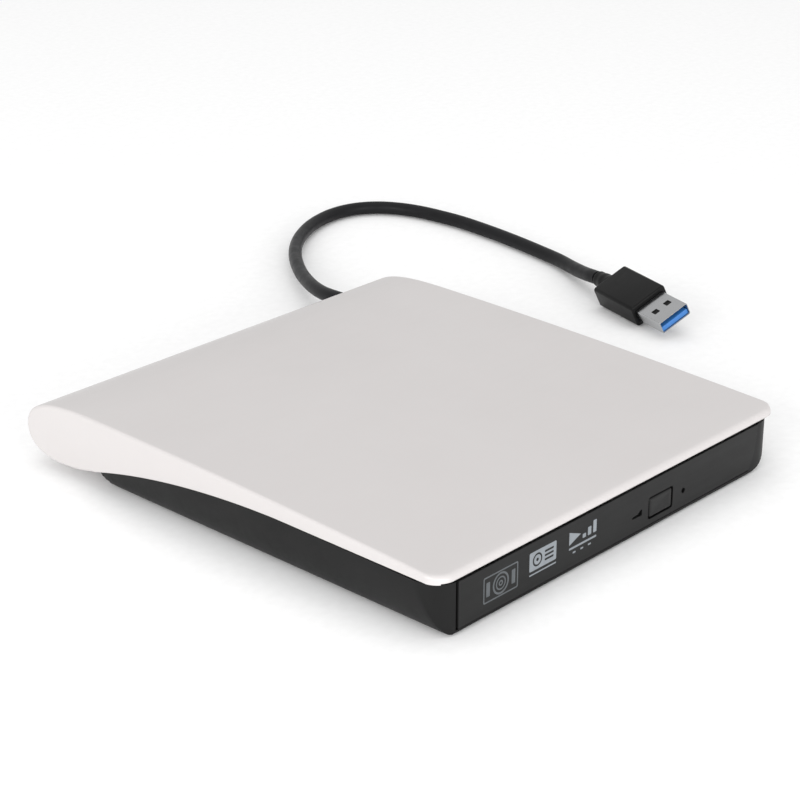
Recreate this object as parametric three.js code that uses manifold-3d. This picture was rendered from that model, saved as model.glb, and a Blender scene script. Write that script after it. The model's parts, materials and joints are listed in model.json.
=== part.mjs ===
// External slim optical drive with a captive USB lead. Millimetres, +Z up, -Y is the front.
// The origin is on the table, under the middle of the housing.
import * as THREE from "three";
import { mergeVertices } from "three/addons/utils/BufferGeometryUtils.js";
import Module from "manifold-3d";

const wasm = await Module();
wasm.setup();

// ---- housing ----
const housingWidth = 146;
const housingDepth = 159.8;
const frontHeight = 17.9;
const crestHeight = 21.8;
const crestFromRear = 30;
const rollMidHeight = 11.4;
const rollUnderHeight = 3.4;
const rollUnderFromRear = 14;
const lipFromRear = 29.3;
const lipHeight = 5.5;
const skirtTopHeight = 15.7;
const skirtFrontHeight = 15.3;
const skirtCrestFromRear = 102;
const coverWall = 2;
const coverCornerRadius = 5.5;
const rearCornerRadius = 1;
const footProud = 0.6;
const shellInset = 0.5;
const shellCornerRadius = 8;
const shellTaperLeft = 5.4;
const shellTaperRight = 11.5;
const shellTaperHeight = 14;
const shellFloor = 1.4;
const shellWall = 1.6;
const bayTaper = 4;
const bayCornerRadius = 6;
const shelfThickness = 1.4;
const shelfDepth = 23;
const shelfInset = 9;

// ---- gaps ----
const gap = 0.3;
const slideGap = 0.4;
const runGap = 0.25;
const bezelGap = 0.5;

// ---- feet ----
const footRadius = 4.5;
const footThickness = 1;
const footInsetX = 20;
const footInsetFront = 17;
const footInsetRear = 44;

// ---- slim drive ----
const driveShiftX = -1.25;
const driveWidth = 128;
const driveDepth = 123.5;
const driveHeight = 12.7;
const sheet = 0.8;
const lidThickness = 0.7;
const bezelThickness = 2.5;
const bezelRecess = 0.2;
const bezelWidth = 128.7;
const bezelHeight = 13.2;
const bezelEndWidth = 3.4;
const bezelEndHeight = 11.6;
const buttonWidth = 10.5;
const buttonHeight = 6;
const buttonX = 18.75;
const buttonTravel = 0.8;
const slotWidth = 4;
const slotHeight = 1.3;
const slotTilt = 0.12;
const slotX = 8.25;
const pinholeRadius = 0.8;
const pinholeX = 29.15;
const frontFeatureHeight = 4.5;

// ---- rails and tray ----
const railThickness = 1.3;
const railHeight = 6;
const railLength = 110;
const trayDepth = 108;
const trayUnderHeight = 5.6;
const trayTopHeight = 10.4;
const wellFloorHeight = 7.2;
const discRadius = 60;
const discMargin = 0.4;
const hubFromFront = 62;
const hubOpeningRadius = 14;

// ---- pickup unit, along its own line from the hub ----
const pickupTurn = (-135 * Math.PI) / 180;
const chassisInner = 18;
const chassisOuter = 67;
const chassisLow = -16;
const chassisHigh = 18.5;
const chassisBase = 1.4;
const chassisTop = 5.2;
const chassisEnd = 3;
const spindleRadius = 11;
const hubBossRadius = 7.3;
const seatRadius = 12.6;
const seatHeight = 8.3;
const hubTopHeight = 10.9;
const ballRadius = 0.9;
const rodRadius = 1;
const rodHeight = 3.6;
const rodLow = -12;
const rodHigh = 9.5;
const screwRadius = 1.2;
const screwLine = 14.5;
const sledParked = 23;
const sledLength = 14;
const sledMotorRadius = 1.9;
const sledMotorLength = 9;
const lensRadius = 2.2;

// ---- latch, switch and dampers under the tray ----
const latchX = 47;
const latchY = 40;
const latchLength = 12;
const latchBase = 2;
const latchTop = 3.4;
const latchEyeRadius = 2;
const latchHalfWidth = 1.1;
const latchHookWidth = 1.6;
const latchHookReach = 4.5;
const latchPinRadius = 0.7;
const latchCollarRadius = 1.8;
const switchHalfWidth = 3;
const switchRearY = 4.2;
const solenoidFrontY = 29;
const solenoidDepth = 6;
const solenoidHalfWidth = 5;
const damperRadius = 2.4;
const damperReach = 3.5;

// ---- screws ----
const screwHeadRadius = 1.6;
const screwHeadHeight = 0.55;
const screwShankRadius = 0.6;
const screwHoleRadius = 0.9;
const boardScrewRadius = 0.8;
const boardScrewHeadRadius = 1.7;
const screwSeat = 0.05;

// ---- boards ----
const boardThickness = 1.2;
const driveBoardDepth = 12.7;
const driveBoardHeight = 4.6;
const connectorWidth = 26;
const connectorX = -45;
const connectorHeight = 5.4;
const bridgeBoardWidth = 102;
const bridgeBoardDepth = 23.4;

// ---- lead ----
const cordRadius = 2.5;
const cordSides = 10;
const cordSteps = 48;
const outletInset = 7;
const outletHeight = 9.3;
const reliefLength = 5.5;
const reliefRadius = 3.9;
const reliefNeck = 3.2;
const reliefFlange = 3.9;
const plugX = 143.2;
const plugY = 33.6;
const plugHeight = 6.9;
const plugYaw = (17.5 * Math.PI) / 180;
const plugRoll = (26 * Math.PI) / 180;
const overmouldWidth = 14.5;
const overmouldHeight = 8;
const overmouldLength = 24;
const bootLength = 8;
const plugShellWidth = 12;
const plugShellHeight = 4.5;
const plugShellLength = 12;
const plugShellWall = 0.35;

// The lead's path on the table, chosen by hand, from the strain relief to the plug's boot.
const cordPath = [
  [66, 85.9, 9.3], [66, 89.2, 9.2], [66.7, 93.8, 8.8], [68.4, 99.5, 8.1], [71.7, 106.8, 7.3], [76.6, 115.1, 6.3],
  [82.4, 123.8, 5.4], [89, 132.4, 4.7], [96, 140.5, 4], [103.2, 147.7, 3.5], [110.5, 153.8, 3.1],
  [117.9, 158.8, 2.8], [125.6, 162.8, 2.7], [133.5, 165.6, 2.6], [141.3, 166.9, 2.6], [148.5, 166.4, 2.6],
  [155, 163.9, 2.6], [160.5, 159.3, 2.6], [164.6, 152.5, 2.6], [167.1, 144.2, 2.6], [168.2, 135, 2.6],
  [168.6, 125.3, 2.6], [167.9, 114.8, 2.6], [166.6, 103.7, 2.6], [164.9, 92.9, 2.6], [162.7, 81.5, 2.6],
  [160, 70.8, 2.8], [156.2, 62.2, 3.4], [152.5, 55.4, 4.4], [149.3, 49.6, 5.5], [147.1, 45.4, 6.4],
  [145.8, 41.9, 6.9],
];

// ---- places worked out from the sizes above ----
const frontY = -housingDepth / 2;
const rearY = housingDepth / 2;
const halfWidth = housingWidth / 2;
const lipY = rearY - lipFromRear;
const tongueInset = coverWall + gap;
const outletX = halfWidth - outletInset;
const driveFrontY = frontY + bezelRecess + bezelThickness + gap;
const driveBase = footProud + shellFloor + gap;
const driveRearY = driveFrontY + driveDepth;
const driveHalf = driveWidth / 2;
const lidUnder = driveHeight - lidThickness;
const trayHalf = driveHalf - sheet - gap - railThickness - slideGap;
const wellRadius = discRadius + discMargin;
const shelfBase = lipHeight + coverWall + gap;
const shelfTop = shelfBase + shelfThickness;
const rearWallY = lipY - gap - shellWall;
const bridgeBase = shelfTop + gap;
const bridgeTop = bridgeBase + boardThickness;
const bridgeFrontY = rearWallY + 2;
const bridgeX = driveShiftX + connectorX + bridgeBoardWidth / 2 - 17;

// ---- geometry helpers ----
function solid(geometry) {
  const plain = geometry.index ? geometry.toNonIndexed() : geometry.clone();
  plain.deleteAttribute("normal");
  plain.deleteAttribute("uv");
  const merged = mergeVertices(plain, 1e-5);
  return new wasm.Manifold(new wasm.Mesh({
    numProp: 3,
    vertProperties: new Float32Array(merged.attributes.position.array),
    triVerts: new Uint32Array(merged.index.array),
  }));
}

function toGeometry(manifold) {
  const mesh = manifold.getMesh();
  const geometry = new THREE.BufferGeometry();
  geometry.setAttribute("position", new THREE.BufferAttribute(new Float32Array(mesh.vertProperties), 3));
  geometry.setIndex(new THREE.BufferAttribute(new Uint32Array(mesh.triVerts), 1));
  return geometry;
}

function boxGeometry(low, high) {
  const geometry = new THREE.BoxGeometry(high[0] - low[0], high[1] - low[1], high[2] - low[2]);
  geometry.translate((low[0] + high[0]) / 2, (low[1] + high[1]) / 2, (low[2] + high[2]) / 2);
  return geometry;
}

function box(low, high) {
  return solid(boxGeometry(low, high));
}

// Upright cylinder.
function postGeometry(x, y, radius, low, high, sides = 32) {
  const geometry = new THREE.CylinderGeometry(radius, radius, high - low, sides);
  geometry.rotateX(Math.PI / 2);
  geometry.translate(x, y, (low + high) / 2);
  return geometry;
}

function post(x, y, radius, low, high, sides = 32) {
  return solid(postGeometry(x, y, radius, low, high, sides));
}

// Cylinder along X.
function barGeometry(y, z, radius, low, high, sides = 20) {
  const geometry = new THREE.CylinderGeometry(radius, radius, high - low, sides);
  geometry.rotateZ(Math.PI / 2);
  geometry.translate((low + high) / 2, y, z);
  return geometry;
}

// Turned piece about +Z from [radius, height] points.
function turned(profile, sides = 48) {
  const geometry = new THREE.LatheGeometry(profile.map(([r, z]) => new THREE.Vector2(r, z)), sides);
  geometry.rotateX(Math.PI / 2);
  return geometry;
}

// Outline drawn in Y and Z, pushed along X from low to high.
function alongX(shape, low, high, curveSegments = 14) {
  const geometry = new THREE.ExtrudeGeometry(shape, { depth: high - low, bevelEnabled: false, curveSegments });
  const turn = new THREE.Matrix4().makeBasis(
    new THREE.Vector3(0, 1, 0), new THREE.Vector3(0, 0, 1), new THREE.Vector3(1, 0, 0),
  );
  geometry.applyMatrix4(turn);
  geometry.translate(low, 0, 0);
  return solid(geometry);
}

// Rectangle with its own radius at the front and at the rear corners.
function roundedPlan(half, front, rear, frontRadius, backRadius) {
  const shape = new THREE.Shape();
  shape.moveTo(-half + frontRadius, front);
  shape.lineTo(half - frontRadius, front);
  shape.absarc(half - frontRadius, front + frontRadius, frontRadius, -Math.PI / 2, 0, false);
  shape.lineTo(half, rear - backRadius);
  shape.absarc(half - backRadius, rear - backRadius, backRadius, 0, Math.PI / 2, false);
  shape.lineTo(-half + backRadius, rear);
  shape.absarc(-half + backRadius, rear - backRadius, backRadius, Math.PI / 2, Math.PI, false);
  shape.lineTo(-half, front + frontRadius);
  shape.absarc(-half + frontRadius, front + frontRadius, frontRadius, Math.PI, Math.PI * 1.5, false);
  return shape;
}

function upright(shape, low, high, curveSegments = 12) {
  const geometry = new THREE.ExtrudeGeometry(shape, { depth: high - low, bevelEnabled: false, curveSegments });
  geometry.translate(0, 0, low);
  return solid(geometry);
}

function paint(color, roughness, metalness = 0) {
  return new THREE.MeshStandardMaterial({ color, roughness, metalness });
}

const finishes = {
  coverPlastic: paint("#d7d3d2", 0.38),
  shellPlastic: paint("#343434", 0.5),
  bezelPlastic: paint("#3d3d3d", 0.45),
  buttonPlastic: paint("#343434", 0.45),
  trayPlastic: paint("#2a2a2c", 0.55),
  lightPipe: paint("#1b1e1c", 0.2),
  rubber: paint("#222222", 0.85),
  steel: paint("#b4b6b8", 0.4, 1),
  darkSteel: paint("#8b8d90", 0.45, 1),
  polishedSteel: paint("#cfd1d3", 0.18, 1),
  hubPlastic: paint("#1f2022", 0.4),
  lensGlass: paint("#7fb2c8", 0.05),
  board: paint("#1f5a3a", 0.5),
  chip: paint("#18191b", 0.5),
  connectorPlastic: paint("#141415", 0.5),
  palePlastic: paint("#e6e1d3", 0.5),
  ribbon: paint("#e8e4da", 0.5),
  cordJacket: paint("#3a3a3a", 0.5),
  plugPlastic: paint("#262626", 0.5),
  plugMetal: paint("#a9aaab", 0.3, 1),
  plugBlue: paint("#3f86d0", 0.4),
};

const drive = new THREE.Group();

function add(parent, name, geometry, material) {
  const mesh = new THREE.Mesh(geometry, material);
  mesh.name = name;
  parent.add(mesh);
  return mesh;
}

// ---- housing pieces ----

// Upper outline of the cover from the front edge, over the crest and round the rear roll to the lip.
function traceCoverTop(shape, inset) {
  const crestY = rearY - crestFromRear;
  const rollUnderY = rearY - rollUnderFromRear;
  const shoulder = 14;
  shape.quadraticCurveTo(crestY - 62, crestHeight - 0.4 - inset, crestY, crestHeight - inset);
  shape.bezierCurveTo(crestY + shoulder, crestHeight - inset, rearY - inset, crestHeight - 0.7 - inset,
    rearY - inset, rollMidHeight);
  shape.bezierCurveTo(rearY - inset, rollMidHeight - 5.6 + inset / 2, rollUnderY + 7.5, rollUnderHeight + inset,
    rollUnderY, rollUnderHeight + inset);
  shape.quadraticCurveTo(rollUnderY - 8.5, rollUnderHeight + inset, lipY, lipHeight + inset);
}

// Lower edge of the cover's skirts: an S from the lip up to the thin front rim.
function traceSkirt(shape, drop) {
  const skirtCrestY = rearY - skirtCrestFromRear;
  shape.bezierCurveTo(lipY - 14.5, lipHeight + 4.3 - drop, lipY - 39, skirtTopHeight - 0.8 - drop,
    skirtCrestY, skirtTopHeight - drop);
  shape.lineTo(frontY - 1, skirtFrontHeight - drop);
}

function coverOutline() {
  const shape = new THREE.Shape();
  shape.moveTo(frontY - 1, frontHeight);
  traceCoverTop(shape, 0);
  traceSkirt(shape, 0);
  return shape;
}

// Space under the cover: open downwards and to the front, bounded by the roll's inner face.
function coverHollowOutline(inset) {
  const shape = new THREE.Shape();
  shape.moveTo(frontY - 6, frontHeight - inset);
  traceCoverTop(shape, inset);
  shape.lineTo(lipY, -5);
  shape.lineTo(frontY - 6, -5);
  return shape;
}

function topCover() {
  const side = alongX(coverOutline(), -halfWidth, halfWidth);
  const plan = roundedPlan(halfWidth, frontY, rearY, coverCornerRadius, rearCornerRadius);
  const outer = side.intersect(upright(plan, -2, crestHeight + 2));
  const hollow = alongX(coverHollowOutline(coverWall), -halfWidth + coverWall, halfWidth - coverWall);
  const outlet = solid(new THREE.CylinderGeometry(reliefNeck + gap, reliefNeck + gap, 8, 32)
    .translate(outletX, rearY - 2, outletHeight));
  const seat = solid(new THREE.CylinderGeometry(reliefFlange + gap, reliefFlange + gap, 8, 32)
    .translate(outletX, rearY - coverWall - 4, outletHeight));
  return toGeometry(outer.subtract(hollow).subtract(outlet).subtract(seat));
}

// Long block whose two sides curve in towards the floor by taper.
function taperedBlock(inset, taper, low, shift) {
  const half = halfWidth + Math.abs(shift) - inset - taper;
  const plan = roundedPlan(half, -housingDepth, housingDepth, 1, 1);
  const geometry = new THREE.ExtrudeGeometry(plan, {
    depth: crestHeight - low - shellTaperHeight, bevelEnabled: true, bevelThickness: shellTaperHeight,
    bevelSize: taper, bevelSegments: 8, curveSegments: 2,
  });
  geometry.translate(shift, 0, low + shellTaperHeight);
  return solid(geometry);
}

// Lower body: the right side curves in further than the left; the front face is upright.
function taperedBody(inset) {
  const plan = roundedPlan(halfWidth - inset, frontY + shellInset, rearY, shellCornerRadius, 1);
  return taperedBlock(inset, shellTaperLeft, footProud, 0)
    .intersect(taperedBlock(inset, shellTaperRight, footProud, -housingWidth / 4))
    .intersect(upright(plan, 0, crestHeight));
}

// Everything below the skirts, back to the lip.
function belowSkirtOutline(drop) {
  const shape = new THREE.Shape();
  shape.moveTo(lipY - gap, lipHeight - drop);
  traceSkirt(shape, drop);
  shape.lineTo(frontY - 20, skirtFrontHeight - drop);
  shape.lineTo(frontY - 20, footProud);
  shape.lineTo(lipY - 5, footProud);
  shape.quadraticCurveTo(lipY - gap, footProud + 0.2, lipY - gap, lipHeight - drop);
  return shape;
}

function bezelOutline(grow) {
  const low = -driveHalf - 0.35 - grow;
  const high = low + bezelWidth + 2 * grow;
  const base = -0.4 - grow;
  const top = base + bezelHeight + 2 * grow;
  const shape = new THREE.Shape();
  shape.moveTo(low, base);
  shape.lineTo(high - bezelEndWidth, base);
  shape.quadraticCurveTo(high - 0.4, base + bezelEndHeight * 0.35, high, base + bezelEndHeight);
  shape.lineTo(high, top);
  shape.lineTo(low, top);
  return shape;
}

// Outline drawn in X and Z, pushed along Y from low to high.
function alongY(shape, low, high, curveSegments = 8) {
  const geometry = new THREE.ExtrudeGeometry(shape, { depth: high - low, bevelEnabled: false, curveSegments });
  geometry.rotateX(Math.PI / 2);
  geometry.translate(0, high, 0);
  return solid(geometry);
}

function lowerShell() {
  const underCover = new THREE.Shape();
  underCover.moveTo(frontY + 3, frontHeight - coverWall - gap);
  underCover.lineTo(rearWallY, frontHeight - coverWall - gap);
  underCover.lineTo(rearWallY, footProud + 1);
  underCover.lineTo(frontY + 3, footProud + 1);
  const skin = taperedBody(shellInset)
    .intersect(alongX(belowSkirtOutline(gap), -halfWidth, halfWidth));
  const tongue = taperedBody(tongueInset)
    .intersect(alongX(underCover, -halfWidth, halfWidth));
  const floorTop = footProud + shellFloor;
  const bayFrontY = frontY + bezelRecess + bezelThickness;
  const bay = taperedBlock(tongueInset + shellWall, bayTaper, floorTop - 0.01, 0)
    .intersect(upright(roundedPlan(halfWidth, bayFrontY, rearWallY, bayCornerRadius, 1), floorTop, 40));
  const window = alongY(bezelOutline(bezelGap), -20, bezelThickness + 2 * gap)
    .translate(driveShiftX, frontY + bezelRecess, driveBase);
  const overWindow = box(
    [driveShiftX - driveHalf, frontY - 20, driveBase + bezelHeight - 2],
    [driveShiftX + driveHalf - 1, frontY + bezelRecess + bezelThickness + 2 * gap, 40],
  );
  const shelf = box(
    [-halfWidth + shelfInset, rearWallY + 0.2, shelfBase],
    [halfWidth - shelfInset, rearWallY + shelfDepth, shelfTop],
  );
  const rearWall = box(
    [-halfWidth + shelfInset, rearWallY, footProud + 0.4],
    [halfWidth - shelfInset, lipY - gap, shelfTop],
  );
  const screwHoles = boardScrewPlaces().map(([x, y]) => post(x, y, boardScrewRadius + gap, shelfBase - 2, shelfTop + 2, 16));
  const pockets = footPlaces().map(([, x, y]) => (
    post(x, y, footRadius + gap, footProud - 1, footThickness + gap)
  ));
  let body = skin.add(tongue).subtract(bay).subtract(window).subtract(overWindow);
  body = body.add(rearWall).add(shelf);
  for (const cut of [...screwHoles, ...pockets]) {
    body = body.subtract(cut);
  }
  return toGeometry(body);
}

function footPlaces() {
  const x = halfWidth - footInsetX;
  return [
    ["rubber_foot_front_left", -x, frontY + footInsetFront],
    ["rubber_foot_front_right", x, frontY + footInsetFront],
    ["rubber_foot_rear_left", -x, rearY - footInsetRear],
    ["rubber_foot_rear_right", x, rearY - footInsetRear],
  ];
}

function addHousing() {
  add(drive, "top_cover", topCover(), finishes.coverPlastic);
  add(drive, "lower_shell", lowerShell(), finishes.shellPlastic);
  for (const [name, x, y] of footPlaces()) {
    add(drive, name, postGeometry(x, y, footRadius, 0, footThickness), finishes.rubber);
  }
}

// ---- fixed parts of the slim drive, in a group whose origin is the case's front edge ----
function addCase(group) {
  const rearCut = box(
    [connectorX - connectorWidth / 2 - gap, driveDepth - 3, driveBoardHeight + boardThickness - gap],
    [connectorX + connectorWidth / 2 + gap, driveDepth + 3, driveHeight],
  );
  const bossRadius = 2;
  const bossX = driveHalf - sheet - bossRadius - 0.2;
  const bossY = driveDepth - sheet - bossRadius - 0.2;
  const bosses = [-bossX, bossX].map((x) => (
    post(x, bossY, bossRadius, sheet - 0.2, lidUnder - gap, 20)
      .subtract(post(x, bossY, screwHoleRadius, 2, driveHeight, 16))
  ));
  const ties = [-1, 1].map((side) => box(
    [side > 0 ? bossX + 1.6 : -driveHalf + 0.2, bossY - 1.2, sheet - 0.2],
    [side > 0 ? driveHalf - 0.2 : -bossX - 1.6, bossY + 1.2, lidUnder - gap],
  ));
  let pan = box([-driveHalf, 0, 0], [driveHalf, driveDepth, lidUnder - gap])
    .subtract(box([-driveHalf + sheet, -2, sheet], [driveHalf - sheet, driveDepth - sheet, 30]))
    .subtract(rearCut);
  for (const piece of [...bosses, ...ties]) {
    pan = pan.add(piece);
  }
  add(group, "drive_lower_case", toGeometry(pan), finishes.steel);
  let lid = box([-driveHalf, 0, lidUnder], [driveHalf, driveDepth, driveHeight]);
  for (const x of [-bossX, bossX]) {
    lid = lid.subtract(post(x, bossY, screwHoleRadius, lidUnder - 1, driveHeight + 1, 16));
  }
  add(group, "drive_upper_case", toGeometry(lid), finishes.steel);
  for (const [name, x] of [["case_screw_left", -bossX], ["case_screw_right", bossX]]) {
    const head = post(x, bossY, screwHeadRadius, driveHeight + screwSeat, driveHeight + screwSeat + screwHeadHeight, 20);
    const shank = post(x, bossY, screwShankRadius, lidUnder - 5, driveHeight + 0.2, 16);
    add(group, name, toGeometry(head.add(shank)), finishes.darkSteel);
  }
}

function addDriveBoard(group) {
  const boardRear = driveDepth - sheet - 4.6;
  const top = driveBoardHeight + boardThickness;
  const frontEdge = boardRear - driveBoardDepth + 4;
  add(group, "drive_board", boxGeometry(
    [-driveHalf + 6, frontEdge, driveBoardHeight], [driveHalf - 6, boardRear, top],
  ), finishes.board);
  add(group, "sata_connector", boxGeometry(
    [connectorX - connectorWidth / 2, boardRear - 6, top + gap],
    [connectorX + connectorWidth / 2, driveDepth + 1.6, top + connectorHeight],
  ), finishes.connectorPlastic);
  add(group, "drive_chip", boxGeometry([2, frontEdge + 1, driveBoardHeight - 1.3],
    [9, frontEdge + 8, driveBoardHeight - gap]), finishes.chip);
  add(group, "flash_chip", boxGeometry([16, frontEdge + 2, driveBoardHeight - 1.3],
    [21, frontEdge + 7, driveBoardHeight - gap]), finishes.chip);
  add(group, "ribbon_cable", boxGeometry([-14, 44, sheet + 0.15], [0, frontEdge - 2, sheet + 0.35]),
    finishes.ribbon);
  add(group, "latch_post", postGeometry(latchX - 9.5, latchY + 3.5, 1.1, sheet + 0.1, 1.7, 20),
    finishes.polishedSteel);
}

function addRails(group) {
  const low = 2;
  const outer = driveHalf - sheet - gap;
  for (const [name, side] of [["slide_rail_left", -1], ["slide_rail_right", 1]]) {
    const near = side > 0 ? outer - railThickness : -outer;
    add(group, name, boxGeometry([near, low, low], [near + railThickness, low + railLength, low + railHeight]),
      finishes.darkSteel);
  }
}

// ---- tray and what rides on it ----
function tray() {
  const slab = box([-trayHalf, 0, trayUnderHeight], [trayHalf, trayDepth, trayTopHeight]);
  const well = post(0, hubFromFront, wellRadius, wellFloorHeight, trayTopHeight + 5, 96);
  const cover = coverPlate(runGap).translate(0, hubFromFront, 0);
  const thumb = post(trayHalf - 10.5, 12, 9, wellFloorHeight, trayTopHeight + 5, 30);
  const buttonRoom = box(
    [buttonX - buttonWidth / 2 - slideGap, -1, trayUnderHeight - 1],
    [buttonX + buttonWidth / 2 + slideGap, buttonTravel + gap, frontFeatureHeight + buttonHeight / 2 + slideGap],
  );
  return toGeometry(slab.subtract(well).subtract(cover).subtract(thumb).subtract(buttonRoom));
}

// Plate that closes the tray around the hub and the pickup's path; grown by a gap it is the tray's opening.
function coverPlate(grow) {
  const disc = post(0, 0, hubOpeningRadius + 3 + grow, trayUnderHeight - 1, trayTopHeight, 48);
  const lane = box(
    [0, rodLow + 1 - grow, trayUnderHeight - 1],
    [chassisOuter - 4 + grow, rodHigh + 2.5 + grow, trayTopHeight],
  ).rotate([0, 0, (pickupTurn * 180) / Math.PI]);
  return disc.add(lane);
}

function traverseCover() {
  const slice = box([-80, -80, wellFloorHeight - 0.8], [80, 80, wellFloorHeight]);
  const lens = box(
    [9, -7.6 - gap, 0], [chassisOuter - 6, 7.6 + gap, 20],
  ).rotate([0, 0, (pickupTurn * 180) / Math.PI]);
  const hub = post(0, 0, seatRadius + gap, 0, 20, 48);
  return toGeometry(coverPlate(0).intersect(slice).subtract(hub).subtract(lens));
}

function addTray(group) {
  add(group, "disc_tray", tray(), finishes.trayPlastic);
  const front = alongY(bezelOutline(0), 0, bezelThickness).translate(0, -bezelThickness - gap, 0);
  const button = box(
    [buttonX - buttonWidth / 2 - gap, -9, frontFeatureHeight - buttonHeight / 2 - gap],
    [buttonX + buttonWidth / 2 + gap, 9, frontFeatureHeight + buttonHeight / 2 + gap],
  );
  const slot = solid(lightSlot(slotWidth + 0.4, slotHeight + 0.4, -9, 9));
  const pinhole = solid(new THREE.CylinderGeometry(pinholeRadius, pinholeRadius, 20, 20)
    .translate(pinholeX, 0, frontFeatureHeight));
  add(group, "tray_bezel", toGeometry(front.subtract(button).subtract(slot).subtract(pinhole)),
    finishes.bezelPlastic);
  add(group, "light_pipe", lightSlot(slotWidth, slotHeight, -bezelThickness - gap + 0.15, -0.1), finishes.lightPipe);
  add(group, "eject_button", boxGeometry(
    [buttonX - buttonWidth / 2, -bezelThickness - gap, frontFeatureHeight - buttonHeight / 2],
    [buttonX + buttonWidth / 2, -0.1, frontFeatureHeight + buttonHeight / 2],
  ), finishes.buttonPlastic);
}

function lightSlot(width, height, low, high) {
  return new THREE.BoxGeometry(width, high - low, height)
    .rotateY(-slotTilt)
    .translate(slotX, (low + high) / 2, frontFeatureHeight);
}

// ---- pickup unit: the group's X axis runs outwards from the hub along the lens's path ----
function chassis() {
  const holeHalfLow = rodLow - 2;
  let frame = box([-chassisInner, chassisLow, chassisBase], [chassisOuter, chassisHigh, chassisTop]);
  frame = frame.subtract(box([14, holeHalfLow, 0], [chassisOuter - chassisEnd, screwLine + 2.6, 20]));
  frame = frame.subtract(post(0, 0, spindleRadius + gap, 0, 20, 48));
  frame = frame.subtract(box([14 - chassisEnd - sledMotorLength - 1, screwLine - sledMotorRadius - gap, 0],
    [14 - chassisEnd + gap, screwLine + sledMotorRadius + gap, 20]));
  for (const line of [rodLow, rodHigh]) {
    frame = frame.subtract(solid(barGeometry(line, rodHeight, rodRadius + runGap, 12, chassisOuter - 1)));
  }
  frame = frame.subtract(solid(barGeometry(screwLine, rodHeight, 0.7 + runGap, 8, chassisOuter - 1)));
  return toGeometry(frame);
}

function leadScrew() {
  const journal = 0.7;
  const start = 14 - chassisEnd + 0.4;
  const profile = [
    [0, start], [journal, start], [journal, 14 + gap], [screwRadius, 14 + gap],
    [screwRadius, chassisOuter - chassisEnd - gap], [journal, chassisOuter - chassisEnd - gap],
    [journal, chassisOuter - 1.4], [0, chassisOuter - 1.4],
  ];
  const geometry = turned(profile, 24);
  geometry.rotateY(Math.PI / 2);
  geometry.translate(0, screwLine, rodHeight);
  return geometry;
}

function sled() {
  const low = sledParked - sledLength / 2;
  const high = sledParked + sledLength / 2;
  const carriage = box([low, rodLow - 1.8, 1.8], [high, rodHigh + 1.8, chassisTop - 0.1]);
  const raised = box([low + 1, -7, chassisTop - 0.5], [high - 1, 7, wellFloorHeight - 1.2]);
  const arm = box([sledParked - 3, rodHigh + 1, rodHeight - 0.8],
    [sledParked + 3, screwLine - screwRadius - gap, rodHeight + 0.8]);
  const roundBore = solid(barGeometry(rodHigh, rodHeight, rodRadius + runGap, 0, 80));
  const slotBore = box([0, rodLow - 4, rodHeight - rodRadius - runGap],
    [80, rodLow + rodRadius + runGap, rodHeight + rodRadius + runGap]);
  return toGeometry(carriage.add(raised).add(arm).subtract(roundBore).subtract(slotBore));
}

function addPickup(group) {
  add(group, "traverse_chassis", chassis(), finishes.darkSteel);
  for (const [name, line] of [["guide_rod_low", rodLow], ["guide_rod_high", rodHigh]]) {
    add(group, name, barGeometry(line, rodHeight, rodRadius, 12.4, chassisOuter - 1.4), finishes.polishedSteel);
  }
  add(group, "lead_screw", leadScrew(), finishes.polishedSteel);
  add(group, "sled_motor", barGeometry(screwLine, rodHeight - 0.1, sledMotorRadius,
    14 - chassisEnd - sledMotorLength, 14 - chassisEnd, 28), finishes.steel);
  add(group, "pickup_sled", sled(), finishes.darkSteel);
  add(group, "lens_holder", boxGeometry([sledParked - 4, -5, wellFloorHeight - 1.2 + 0.1],
    [sledParked + 4, 5, wellFloorHeight - 0.1]), finishes.hubPlastic);
  add(group, "objective_lens", turned([
    [0, 0], [lensRadius, 0], [lensRadius, 0.35], [lensRadius * 0.8, 0.7], [lensRadius * 0.4, 0.88], [0, 0.95],
  ], 32).translate(sledParked, 0, wellFloorHeight), finishes.lensGlass);
  add(group, "spindle_motor", postGeometry(0, 0, spindleRadius, chassisBase, chassisTop - 0.4, 48), finishes.steel);
  add(group, "traverse_cover", traverseCoverInLine(), finishes.steel);
}

// The cover plate's own outline is worked out in the tray's directions, so it is turned back here.
function traverseCoverInLine() {
  return traverseCover().rotateZ(-pickupTurn);
}

function addTurntable(group) {
  add(group, "turntable_hub", turned([
    [0, chassisTop - 0.1], [spindleRadius - 0.8, chassisTop - 0.1], [spindleRadius - 0.8, wellFloorHeight - 0.4],
    [seatRadius, wellFloorHeight - 0.1], [seatRadius, seatHeight], [hubBossRadius, seatHeight],
    [hubBossRadius, hubTopHeight - 1], [hubBossRadius - 1.4, hubTopHeight], [0, hubTopHeight],
  ], 60), finishes.hubPlastic);
  for (let index = 0; index < 3; index += 1) {
    const angle = Math.PI / 2 + (index * 2 * Math.PI) / 3;
    const reach = hubBossRadius + ballRadius + 0.1;
    add(group, `disc_clamp_ball_${index + 1}`, new THREE.SphereGeometry(ballRadius, 16, 10)
      .translate(reach * Math.cos(angle), reach * Math.sin(angle), seatHeight + 1.2), finishes.polishedSteel);
  }
}

// ---- tray electronics and latch, under the tray on the right ----
function latchLever() {
  const tip = latchX - latchLength;
  const eye = post(latchX, latchY, latchEyeRadius, latchBase, latchTop, 24);
  const arm = box([tip, latchY - latchHalfWidth, latchBase], [latchX, latchY + latchHalfWidth, latchTop]);
  const hook = box([tip, latchY, latchBase], [tip + latchHookWidth, latchY + latchHookReach, latchTop]);
  const pivot = post(latchX, latchY, latchPinRadius + runGap, 0, driveHeight, 20);
  return toGeometry(eye.add(arm).add(hook).subtract(pivot));
}

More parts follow.
